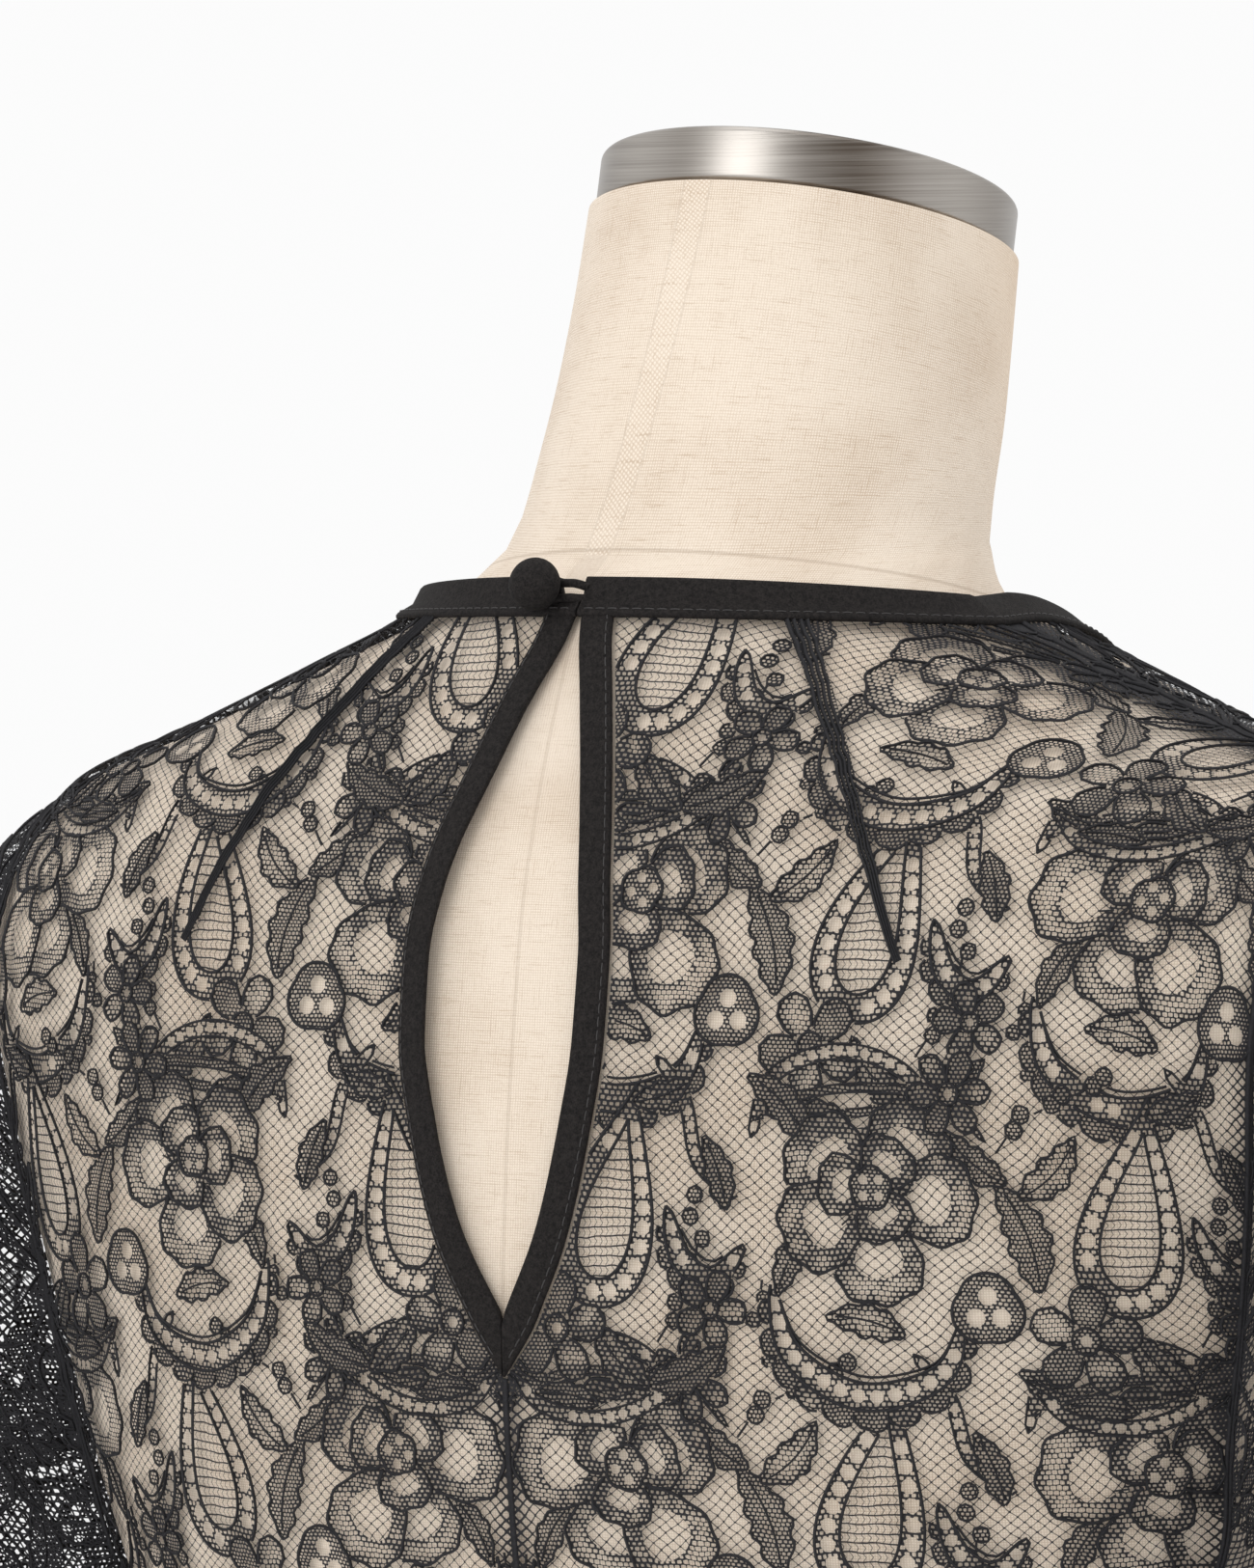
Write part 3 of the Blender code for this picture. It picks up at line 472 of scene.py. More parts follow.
def respaced(line, step):
    line = np.asarray(line, float)
    arc = lengths(line)
    at = np.linspace(0, arc[-1], max(2, int(round(arc[-1] / step)) + 1))
    return places_at(line, arc, at)


def signed_area(line):
    """Area within a closed flat line, above 0 where it runs anticlockwise."""
    after = np.roll(line, -1, axis=0)
    return (line[:, 0] * after[:, 1] - line[:, 1] * after[:, 0]).sum() / 2


def turned_left(line):
    """The closed line, running anticlockwise."""
    return line if signed_area(line) > 0 else line[::-1]


def outline_of(*sides, step=4.0):
    return turned_left(np.concatenate([respaced(side, step)[:-1] for side in sides]))


def sewn(shoulder, armhole, side, turning=SHOULDER_SEAM):
    """Seams with how far their turnings reach and how closely they fill the net."""
    return [(shoulder, *turning), (armhole, *PLAIN_SEAM), (side, *PLAIN_SEAM)]


def back_outline(side):
    """Outline of a back panel and the sides on which it is sewn."""
    _, outer = keyhole_edges(side)
    cut = outer + [0.6, 0.0]
    cut[-1] = (CENTRE_EDGE, outer[-1][1] - SEAM_GAP)
    first = flat_place(1, cut[0][0], neckline_height(1, cut[0][0]))
    cut = cut[cut[:, 1] < first[1] - 2]
    neck = neck_line(1, first[0] + 3)
    hem = HEM_HEIGHT - GRAIN_HEIGHT
    centre = np.array([(CENTRE_EDGE, hem), cut[-1]])
    edge = np.vstack([cut[::-1], first, neck[0]])
    sides = [centre, edge, neck, shoulder_line(1), armhole_line(1), side_line(1)]
    bottom = np.array([side_line(1)[-1], centre[0]])
    seams = sewn(shoulder_line(1), armhole_line(1), side_line(1)) + [(centre, *PLAIN_SEAM)]
    return outline_of(*sides, bottom), seams


def front_outline():
    hem = np.array([side_line(-1)[-1], (0.0, HEM_HEIGHT - GRAIN_HEIGHT)])
    half = [neck_line(-1), shoulder_line(-1), armhole_line(-1), side_line(-1), hem]
    other = [side[::-1] * [-1, 1] for side in half[::-1]]
    seams = []
    for sign in (1, -1):
        seams += sewn(*(side * [sign, 1] for side in half[1:4]), FRONT_SHOULDER_SEAM)
    return outline_of(*half, *other), seams


def curve_at(t, a, b, c, d):
    """Points at t of cubic curves with four control points each."""
    return (1 - t) ** 3 * a + 3 * t * (1 - t) ** 2 * b + 3 * t * t * (1 - t) * c + t**3 * d


def sleeve_controls(face, shares):
    """Control points of the lines down a half sleeve, one row each."""
    turns = math.pi * shares
    heights = (ARMHOLE_TOP + ARMHOLE_BOTTOM) / 2 + (ARMHOLE_TOP - ARMHOLE_BOTTOM) / 2 * np.cos(turns)
    x = armhole_half(face, heights)
    start = np.stack([x, cloth_y(face, x, heights), heights], axis=1)
    normals = outward(start)
    into = ARMHOLE_MIDDLE - start
    into -= normals * (into * normals).sum(axis=1)[:, None]
    into /= np.linalg.norm(into, axis=1)[:, None]
    low = np.clip(-np.cos(turns), 0, None)
    start = start + normals * (CLEARANCE + WALL / 2 + 1.7 * low)[:, None] + into * 1.1
    weights = (np.clip(np.cos(turns), 0, None) ** 2, np.sin(turns) ** 2, low**2)
    direction = np.zeros_like(start)
    reach = np.zeros(len(shares))
    for weight, (way, length) in zip(weights, SLEEVE_STARTS):
        direction += weight[:, None] * np.array([way[0], way[1] * face, way[2]])
        reach += weight * length
    direction /= np.linalg.norm(direction, axis=1)[:, None]
    cuff_x = CUFF_MIDDLE[0] + CUFF_HALF[0] * np.cos(turns)
    cuff_y = CUFF_MIDDLE[1] + CUFF_HALF[1] * np.sin(turns) * face
    end = np.stack([cuff_x, cuff_y, np.full(len(shares), SLEEVE_END)], axis=1)
    above = end + (start[:, 2:] - SLEEVE_END) * [0.0, 0.0, 0.64]
    return start, start + direction * reach[:, None], above, end


def sleeve_cloth(face):
    """A half sleeve, round from its top fold and up from its cuff, and its length at each place."""
    outs = np.arange(0, SLEEVE_GIRTH / 2 + Cloth.STEP, Cloth.STEP)
    shares = np.clip(2 * outs / SLEEVE_GIRTH, 0, 1)
    ups = np.arange(0, SLEEVE_UP, Cloth.STEP)
    controls = sleeve_controls(face, shares)
    lines = curve_at(np.linspace(0, 1, 40)[:, None, None], *controls)
    long = np.linalg.norm(np.diff(lines, axis=0), axis=2).sum(axis=0)
    t = (1 - ups[None, :] / long[:, None])[..., None]
    points = curve_at(t, *(point[:, None] for point in controls))
    normals = np.cross(np.gradient(points, axis=0), np.gradient(points, axis=1)) * face
    normals /= np.linalg.norm(normals, axis=2)[..., None]
    return Cloth(points, normals, 0, 0), outs, long


# The lace's repeat


def inside(polygon, points):
    """Which points lie inside a closed outline."""
    (ax, ay), (bx, by) = polygon.T, np.roll(polygon, -1, axis=0).T
    slant = (bx - ax) / np.where(by == ay, 1.0, by - ay)
    found = []
    for start in range(0, len(points), 3000):
        x, y = points[start:start + 3000].T[:, :, None]
        crossed = ((ay > y) != (by > y)) & (x < slant * (y - ay) + ax)
        found.append(crossed.sum(axis=1) % 2 == 1)
    return np.concatenate(found)


def runs_of(wanted):
    """Numbers of the wanted points, in runs of two or more that follow one another."""
    parts = np.split(np.arange(len(wanted)), np.flatnonzero(np.diff(wanted.astype(int))) + 1)
    return [part for part in parts if wanted[part[0]] and len(part) > 1]


def rounded(points, step=1.0):
    """A rounded line through points."""
    points = np.asarray(points, float)
    ring = np.vstack([2 * points[0] - points[1], points, 2 * points[-1] - points[-2]])
    t = np.linspace(0, 1, 10, endpoint=False)[:, None]
    parts = []
    for a, b, c, d in zip(ring, ring[1:], ring[2:], ring[3:]):
        cubic = (3 * b - a - 3 * c + d) * t**3
        parts.append(0.5 * (2 * b + (c - a) * t + (2 * a - 5 * b + 4 * c - d) * t * t + cubic))
    return respaced(np.vstack(parts + [ring[-2:-1]]), step)


def turned(line, x, y, angle):
    c, s = math.cos(math.radians(angle)), math.sin(math.radians(angle))
    return line @ np.array([[c, s], [-s, c]]) + [x, y]


def ring_of(radius, count=0, depth=0.0, turn=0.0):
    """A circle, or a ring with a count of lobes of a depth."""
    t = np.linspace(0, 2 * math.pi, 121)
    r = radius * (1 - depth + depth * np.abs(np.cos((t + turn) * count / 2)) ** 0.7)
    return np.stack([r * np.cos(t), r * np.sin(t)], axis=1)


def petal_edge(width, length, ruffle, turn):
    """A rounded petal, narrow at its foot, with a ruffled edge."""
    t = np.linspace(0, 2 * math.pi, 121)
    y = -np.cos(t)
    wave = 1 + ruffle * np.cos(9 * t + turn) * (0.5 + 0.5 * y)
    x = np.sin(t) * (1 + 0.3 * y) * wave
    return np.stack([x * width / 2, (y * wave + 0.25) * length / 2], axis=1)


def drop(width, height):
    t = np.linspace(0, 2 * math.pi, 141)
    x = np.sin(t) * np.abs(np.sin(t / 2)) ** 1.5
    return np.stack([x / np.abs(x).max() * width / 2, -np.cos(t) * height / 2], axis=1)


def leaf_edge(width, length, bend, lobes):
    s = np.linspace(0, 1, 48)
    half = width / 2 * np.sin(math.pi * s**0.85) ** 0.8
    half = half * (1 - 0.3 * np.abs(np.sin(math.pi * lobes * s)) ** 3)
    middle = bend * 4 * s * (1 - s)
    y = (s - 0.5) * length
    right = np.stack([middle + half, y], axis=1)
    left = np.stack([middle - half, y], axis=1)[::-1]
    return np.vstack([right, left[1:]]), np.stack([middle, y], axis=1)


def band_edges(points, width, taper):
    middle = rounded(points)
    ahead = np.gradient(middle, axis=0)
    across = np.stack([-ahead[:, 1], ahead[:, 0]], axis=1) / np.linalg.norm(ahead, axis=1)[:, None]
    half = width / 2 * np.sin(math.pi * np.linspace(0, 1, len(middle)))[:, None] ** taper
    return middle + across * half, middle - across * half, middle


def round_hole(x, y, radius):
    t = np.arange(8) * math.pi / 4 + 0.3
    return np.array([x, y]) + radius * np.stack([np.cos(t), np.sin(t)], axis=1)


class Repeat:
    """One repeat of the lace: areas by kind, cords and eyelets, later ones over earlier ones."""

    def __init__(self):
        self.areas = []
        self.cords = []
        self.eyelets = []

    def area(self, kind, line, cord=1.0, step=1.55):
        line = respaced(line, step)
        line = line[:-1] if np.allclose(line[0], line[-1]) else line
        self.areas.append((kind, turned_left(line)))
        if cord:
            self.cord(np.vstack([line, line[:1]]), cord)

    def cord(self, line, weight=1.0):
        self.cords.append((len(self.areas), line, weight))

    def eyelet(self, x, y, radius):
        self.eyelets.append((len(self.areas), x, y, radius))

    def eyelet_row(self, line, spacing, radius, ends):
        arc = lengths(line)
        count = max(1, int((arc[-1] - 2 * ends * spacing) / spacing) + 1)
        start = (arc[-1] - (count - 1) * spacing) / 2
        for at in start + spacing * np.arange(count):
            self.eyelet(np.interp(at, arc, line[:, 0]), np.interp(at, arc, line[:, 1]), radius)

    def arch(self, x, y, width, height, angle, rim):
        """A drop of ladder net in a rim of eyelets."""
        self.area("open", turned(drop(width, height), x, y, angle), 1.15)
        inner = drop(width - 2 * rim, height - 2.6 * rim) + [0, rim * 0.15]
        self.area("ladder", turned(inner, x, y, angle), 1.15)
        middle = drop(width - rim, height - 1.35 * rim) + [0, rim * 0.08]
        self.eyelet_row(turned(middle, x, y, angle)[12:-12], rim * 0.8, rim * 0.33, 0.5)

    def petal(self, x, y, width, length, angle, ruffle, turn, veins=True):
        """A petal of fine net with a ruffled edge, open in its middle; x, y is its foot."""
        centre = turned(np.array([[0, length * 0.42]]), x, y, angle)[0]
        self.area("fine", turned(petal_edge(width, length, ruffle, turn), *centre, angle), 1.15)
        hollow = petal_edge(width * 0.56, length * 0.5, 0.0, 0) + [0, length * 0.04]
        self.area("net", turned(hollow, *centre, angle), 0)
        if veins:
            for lean in (-16, 0, 16):
                vein = np.array([[0, length * 0.1], [0, length * 0.24], [0, length * 0.38]])
                self.cord(turned(vein, x, y, angle + lean), 0.7)

    def flower(self, x, y, radius, count, turn, ruffle=0.05):
        """Two rings of overlapping petals round a core of eyelets set off its middle."""
        for k in [*range(0, count, 2), *range(1, count, 2)]:
            angle = turn + 360 * k / count + 9 * math.sin(2.3 * k + turn)
            length = radius * (0.98 if k % 2 else 0.86) * (1 + 0.08 * math.sin(3.1 * k + turn))
            foot = turned(np.array([[0, radius * 0.08]]), x, y, angle)[0]
            self.petal(*foot, radius * 4.3 / count, length, angle, ruffle, k)
        off = turned(np.array([[radius * 0.05, radius * 0.1]]), x, y, turn)[0]
        for k in range(3):
            angle = turn + 40 + 120 * k
            self.petal(*off, radius * 0.58, radius * 0.52, angle, ruffle, k, veins=False)
        self.area("dense", ring_of(radius * 0.22, 5, 0.16, turn) + off, 1.2, 1.5)
        for k in range(4):
            place = turned(np.array([[0, radius * 0.115]]), *off, turn + 90 * k)[0]
            self.eyelet(*place, radius * 0.05)

    def blossom(self, x, y, radius, count, turn):
        """A small flower of single dense and fine petals."""
        for k in range(count):
            angle = turn + 360 * k / count
            centre = turned(np.array([[0, radius * 0.52]]), x, y, angle)[0]
            edge = petal_edge(radius * 3.4 / count, radius * 0.95, 0.06, k)
            self.area("dense" if k % 3 == 1 else "fine", turned(edge, *centre, angle), 1.1, 1.6)
        self.area("dense", ring_of(radius * 0.27) + [x, y], 1.1, 1.4)
        self.eyelet(x, y, radius * 0.12)

    def chain(self, points, width, spacing):
        """A long curve of small eyelets between two cords."""
        left, right, middle = band_edges(points, width, 0.2)
        self.area("open", np.vstack([left, right[::-1]]), 0.95, 2.2)
        self.eyelet_row(middle, spacing, width * 0.33, 0.8)

    def leaf(self, x, y, width, length, angle, bend, kind, lobes):
        edge, rib = leaf_edge(width, length, bend, lobes)
        self.area(kind, turned(edge, x, y, angle), 1.0, 1.5)
        self.cord(respaced(turned(rib[4:-6], x, y, angle), 2.2), 0.8)

    def swag(self, points, width, spacing, radius, lobe):
        """A hanging band of eyelets between cords, with dense lobes under it."""
        left, right, middle = band_edges(points, width, 0.5)
        under = right if right[len(right) // 2, 1] < left[len(left) // 2, 1] else left
        line = respaced(under[6:-6], lobe * 1.5)
        for number, place in enumerate(line):
            share = math.sin(math.pi * (number + 0.5) / len(line))
            ring = ring_of(lobe * (0.55 + 0.5 * share), 5, 0.12, number)
            self.area("dense" if number % 3 else "fine", ring + place, 1.0, 1.7)
        self.area("open", np.vstack([left, right[::-1]]), 1.2, 2.0)
        self.eyelet_row(middle, spacing, radius, 1.0)
        low, high, _ = band_edges(points, width + 3.0, 0.8)
        self.cord(respaced((low if under is right else high)[6:-6], 2.2), 1.0)

    def stem(self, points, width=2.2):
        left, right, _ = band_edges(points, width, 0.3)
        self.area("dense", np.vstack([left, right[::-1]]), 0.9, 2.2)

    def sprig(self, points, size):
        """Small dense buds along a thin stem."""
        line = rounded(points)
        self.cord(respaced(line, 2.2), 0.9)
        for number, place in enumerate(respaced(line, size * 2.6)[1:]):
            shift = np.array([(-1) ** number, 0.6]) * size * 0.6
            self.area("dense", ring_of(size, 4, 0.15, number) + place + shift, 0.9, 1.5)

    def settle(self):
        """Leaves out the cords and eyelets that later areas cover, also across the repeat's edges."""
        shifts = [(i * REPEAT_ACROSS, j * REPEAT_UP) for i in (-1, 0, 1) for j in (-1, 0, 1)]

        def covered(points, after, holes=()):
            found = np.zeros(len(points), bool)
            low, high = points.min(axis=0), points.max(axis=0)
            for area in [line for _, line in self.areas[after:]] + list(holes):
                for shift in shifts:
                    moved = area + shift
                    if (moved.max(axis=0) > low).all() and (moved.min(axis=0) < high).all():
                        found |= inside(moved, points)
            return found

        self.eyelets = [
            (x, y, radius)
            for after, x, y, radius in self.eyelets
            if not covered(round_hole(x, y, radius + 0.5), after).any()
        ]
        holes = [round_hole(x, y, radius + 0.4) for x, y, radius in self.eyelets if radius > 2]
        kept = []
        for after, line, weight in self.cords:
            for run in runs_of(~covered(line, after, holes)):
                kept.append((line[run], weight))
        self.cords = kept


def add_spray(lace, x, y, large, count, turn):
    """A flower with its arches, swag, leaves and sprigs, round one group of large eyelets."""
    at = np.array([x, y])

    def through(*points):
        return [tuple(np.array(point) + at) for point in points]

    lace.chain(through((-63, 26), (-58, 40), (-42, 46), (-26, 42), (-16, 30)), 3.6, 3.3)
    lace.chain(through((2, -29), (10, -37), (26, -39), (42, -32), (50, -18)), 3.6, 3.3)
    lace.chain(through((38, 44), (46, 34), (50, 20), (60, 12)), 3.2, 3.1)
    lace.stem(through((-62, 30), (-50, 36), (-34, 38), (-16, 36), (-6, 26)), 2.2)
    lace.stem(through((0, -28), (12, -33), (30, -33), (44, -24)), 2.0)
    lace.sprig(through((-4, 24), (2, 31), (12, 36), (24, 41)), 2.1)
    lace.sprig(through((40, -21), (47, -10), (50, 2), (48, 12)), 2.0)
    lace.sprig(through((-60, -6), (-61, -18), (-55, -29)), 1.8)
    lace.swag(through((42, 10), (46, -2), (54, -6), (62, 2)), 5.2, 3.9, 1.45, 3.4)
    lace.arch(28 + x, 12 + y, 25, 52, 168, 5.6)
    lace.swag(through((-58, -7), (-53, -23), (-37, -32), (-19, -27), (-13, -14)), 6.4, 4.3, 1.7, 4.6)
    for across, up, *shape in LEAVES:
        lace.leaf(across + x, up + y, *shape)
    lace.flower(-33 + x, 13 + y, large, count, turn)
    for across, up, radius, petals, twist in BLOSSOMS:
        lace.blossom(across + x, up + y, radius, petals, turn + twist)
    lace.area("dense", ring_of(8.4, 3, 0.16, 0.52) + [x - 7.5, y - 11.7], 1.2)
    for across, up in LARGE_EYELETS:
        lace.eyelet(across + x, up + y, LARGE_EYELET_RADIUS)


def lace_repeat():
    """A generic floral repeat in half drop: two sprays, the second shifted by half a repeat."""
    lace = Repeat()
    add_spray(lace, 0, 0, 25.0, 5, 10)
    add_spray(lace, REPEAT_ACROSS / 2, REPEAT_UP / 2, 23.0, 5, 45)
    lace.settle()
    return lace


# Meshes


def mesh_object(name, points, faces, materials, indices=None, uv=None, values=None):
    """An object from points in mm, with an optional material per face, UV and values per point."""
    mesh = bpy.data.meshes.new(name)
    points = np.asarray(points, float) * MM
    faces = np.asarray(faces)
    mesh.vertices.add(len(points))
    mesh.vertices.foreach_set("co", points.ravel())
    mesh.loops.add(faces.size)
    mesh.loops.foreach_set("vertex_index", faces.ravel())
    mesh.polygons.add(len(faces))
    sides = faces.shape[1]
    mesh.polygons.foreach_set("loop_start", np.arange(len(faces)) * sides)
    for material in materials:
        mesh.materials.append(material)
    if indices is not None:
        mesh.polygons.foreach_set("material_index", np.asarray(indices, np.int32))
    mesh.update(calc_edges=True)
    if uv is not None:
        layer = mesh.uv_layers.new(name="Flat")
        layer.data.foreach_set("uv", np.asarray(uv, float)[faces.ravel()].ravel())
    for word, column in (values or {}).items():
        attribute = mesh.attributes.new(word, "FLOAT", "POINT")
        attribute.data.foreach_set("value", np.asarray(column, np.float32))
    mesh.shade_smooth()
    mesh.validate()
    made = bpy.data.objects.new(name, mesh)
    bpy.context.collection.objects.link(made)
    return made


def ring_quads(rows, sides):
    """Corners of the quads between rings of points that follow one another."""
    i = np.arange(rows - 1)[:, None] * sides
    j = np.arange(sides)[None]
    k = (j + 1) % sides
    return np.stack([i + j, i + k, i + sides + k, i + sides + j], axis=2).reshape(-1, 4)


def tube_mesh(lines, radii, sides):
    """Points and quads of thin tubes along many lines; each line is (points, normals)."""
    points, faces = [], []
    count = 0
    turns = np.arange(sides) * 2 * math.pi / sides
    for (line, normals), radius in zip(lines, radii):
        ahead = np.gradient(line, axis=0)
        ahead /= np.linalg.norm(ahead, axis=1)[:, None] + 1e-9
        across = np.cross(ahead, normals)[:, None] * np.cos(turns)[None, :, None]
        out = normals[:, None] * np.sin(turns)[None, :, None]
        ring = line[:, None] + np.broadcast_to(radius, len(line))[:, None, None] * (across + out)
        points.append(ring.reshape(-1, 3))
        faces.append(count + ring_quads(len(line), sides))
        count += len(line) * sides
    return np.concatenate(points), np.concatenate(faces)


def loft_object(name, rings, material):
    """A closed body through rings of points in mm."""
    rings = np.asarray(rings, float)
    rows, sides = rings.shape[:2]
    faces = [tuple(quad) for quad in ring_quads(rows, sides)]
    faces.append(tuple(range(sides))[::-1])
    faces.append(tuple(range((rows - 1) * sides, rows * sides)))
    mesh = bpy.data.meshes.new(name)
    mesh.from_pydata([tuple(p * MM) for p in rings.reshape(-1, 3)], [], faces)
    mesh.materials.append(material)
    mesh.shade_smooth()
    mesh.set_sharp_from_angle(angle=SMOOTH_ANGLE)
    made = bpy.data.objects.new(name, mesh)
    bpy.context.collection.objects.link(made)
    return made


# Materials


class Field:
    """A socket that takes part in sums, so that shader maths reads as ordinary expressions."""

    def __init__(self, shade, socket):
        self.shade = shade
        self.socket = socket

    def math(self, operation, *others):
        node = self.shade.tree.nodes.new("ShaderNodeMath")
        node.operation = operation
        for target, value in zip(node.inputs, (self, *others)):
            self.shade.feed(target, value)
        return Field(self.shade, node.outputs[0])

    def __add__(self, other):
        return self.math("ADD", other)

    __radd__ = __add__

    def __mul__(self, other):
        return self.math("MULTIPLY", other)

    __rmul__ = __mul__

    def __sub__(self, other):
        return self.math("SUBTRACT", other)

    def __rsub__(self, other):
        return (self * -1.0) + other

    def __truediv__(self, other):
        return self.math("DIVIDE", other)

    def __pow__(self, other):
        return self.math("POWER", other)

    def __abs__(self):
        return self.math("ABSOLUTE")

    def part(self):
        return self.math("FRACT")

    def whole(self):
        return self.math("FLOOR")

    def most(self, other):
        return self.math("MAXIMUM", other)


class Shade:
    """A Principled material and the nodes that feed it."""

    def __init__(self, name, colour, roughness, **settings):
        self.material = bpy.data.materials.new(name)
        self.material.use_nodes = True
        self.tree = self.material.node_tree
        self.shader = self.tree.nodes["Principled BSDF"]
        self.shader.inputs["Base Color"].default_value = (*colour, 1)
        self.shader.inputs["Roughness"].default_value = roughness
        for word, value in settings.items():
            self.shader.inputs[word.replace("_", " ")].default_value = value

    def feed(self, target, value):
        if isinstance(value, Field):
            self.tree.links.new(value.socket, target)
        else:
            target.default_value = value

    def node(self, kind, output=0, inputs=None, **settings):
        """A node's output, with its inputs fed by name and its settings made."""
        node = self.tree.nodes.new(kind)
        for word, value in settings.items():
            setattr(node, word, value)
        for word, value in (inputs or {}).items():
            self.feed(node.inputs[word], value)
        return Field(self, node.outputs[output])

    def set(self, name, value):
        self.feed(self.shader.inputs[name], value)

    def axes(self, vector):
        parts = self.tree.nodes.new("ShaderNodeSeparateXYZ")
        self.feed(parts.inputs[0], vector)
        return [Field(self, socket) for socket in parts.outputs]

    def flat(self):
        """Flat places in mm, from the mesh's own UV."""
        found = self.node("ShaderNodeUVMap", uv_map="Flat")
        u, v, _ = self.axes(found)
        return found, u * TO_MM, v * TO_MM

    def value(self, name):
        return self.node("ShaderNodeAttribute", "Fac", attribute_name=name)

    def stretched(self, vector, scale):
        return self.node("ShaderNodeMapping", inputs={"Vector": vector, "Scale": scale})

    def noise(self, vector, scale, detail=2.0):
        inputs = {"Vector": vector, "Scale": scale, "Detail": detail}
        return self.node("ShaderNodeTexNoise", inputs=inputs)

    def blend(self, factor, first, second):
        """A mix of two colours, each a triple or a field."""
        node = self.tree.nodes.new("ShaderNodeMix")
        node.data_type = "RGBA"
        node.clamp_factor = True
        self.feed(node.inputs[0], factor)
        for target, colour in zip((node.inputs[6], node.inputs[7]), (first, second)):
            self.feed(target, colour if isinstance(colour, Field) else (*colour, 1))
        return Field(self, node.outputs[2])

    def bump(self, height, strength, distance):
        inputs = {"Height": height, "Strength": strength, "Distance": distance}
        self.set("Normal", self.node("ShaderNodeBump", inputs=inputs))


def soft_step(field, low, high):
    """0 below low, 1 above high."""
    node = field.shade.tree.nodes.new("ShaderNodeMapRange")
    node.interpolation_type = "SMOOTHSTEP"
    for target, value in zip(node.inputs, (field, low, high, 0.0, 1.0)):
        field.shade.feed(target, value)
    return Field(field.shade, node.outputs[0])


def mesh_value(across, up, wide, high, brick, power=4.0):
    """0 in the middle of each hole of a net and 1 on its threads; brick shifts every row a share."""
    row = (up / high).whole()
    a = abs((across / wide + row * brick).part() - 0.5) * 2.0
    b = abs((up / high).part() - 0.5) * 2.0
    return (a**power + b**power) ** (1 / power)


def lace_material(kind):
    """One kind of lace ground, its holes cut by alpha from the flat places."""
    shade = Shade("lace_" + kind, colours().thread_dark, 0.85, Specular_IOR_Level=0.25)
    vector, u, v = shade.flat()
    drift = shade.noise(vector, 60.0) - 0.5
    wander = shade.noise(vector, 260.0) - 0.5
    u = u + drift * 3.4 + wander * 0.9
    v = v + drift * -2.8 + wander * 0.8
    edge = shade.value("edge")
    thicker = shade.value("border") * 0.4
    if kind == "net":
        across, up = u / (sizes().net_width / MM), v / (sizes().net_height / MM)
        value = mesh_value(across + up, across - up, 1.0, 1.0, 0.0, 7.0)
        solid = soft_step(value + thicker, 0.865, 0.955)
    elif kind == "fine":
        value = mesh_value(u, v, 1.45, 1.15, 0.5)
        solid = soft_step(value + thicker + edge**1.3 * 0.33, 0.81, 0.94)
    elif kind == "open":
        value = mesh_value(u, v, 1.5, 1.3, 0.5)
        solid = soft_step(value + thicker, 0.55, 0.72)
    elif kind == "dense":
        value = mesh_value(u, v, 1.15, 0.95, 0.5)
        solid = soft_step(value + thicker + edge * 0.15, 0.65, 0.82)
    else:
        row = (v / RUNGS).part()
        line = (0.5 - abs(row - 0.5)) * RUNGS
        slant = (u / RUNG_THREADS + abs(row - 0.5)).part()
        web = (0.5 - abs(slant - 0.5)) * RUNG_THREADS
        first = 1.0 - soft_step(line - thicker, 0.12, 0.24)
        second = 1.0 - soft_step(web - thicker, 0.05, 0.16)
        solid = first.most(second * 0.85)
    shade.set("Alpha", solid)
    lint = shade.noise(vector, 2600.0)
    shade.set("Base Color", shade.blend(lint, colours().thread_dark, colours().thread_light))
    return shade.material


def cord_material():
    shade = Shade("lace_cord", colours().thread_dark, 0.85, Specular_IOR_Level=0.25)
    place = shade.node("ShaderNodeTexCoord", "Object")
    lint = shade.noise(place, 1800.0)
    shade.set("Base Color", shade.blend(lint, colours().thread_dark, colours().thread_light))
    return shade.material


def crepe_material():
    shade = Shade("crepe", colours().crepe_dark, 0.9, Specular_IOR_Level=0.2)
    place = shade.node("ShaderNodeTexCoord", "Object")
    pebble = shade.noise(place, 2400.0, 3.0)
    grain = shade.noise(place, 900.0, 2.0)
    tone = soft_step(pebble * 0.6 + grain * 0.4, 0.3, 0.72)
    shade.set("Base Color", shade.blend(tone, colours().crepe_dark, colours().crepe_light))
    shade.bump(pebble, 0.6, 0.0003)
    return shade.material


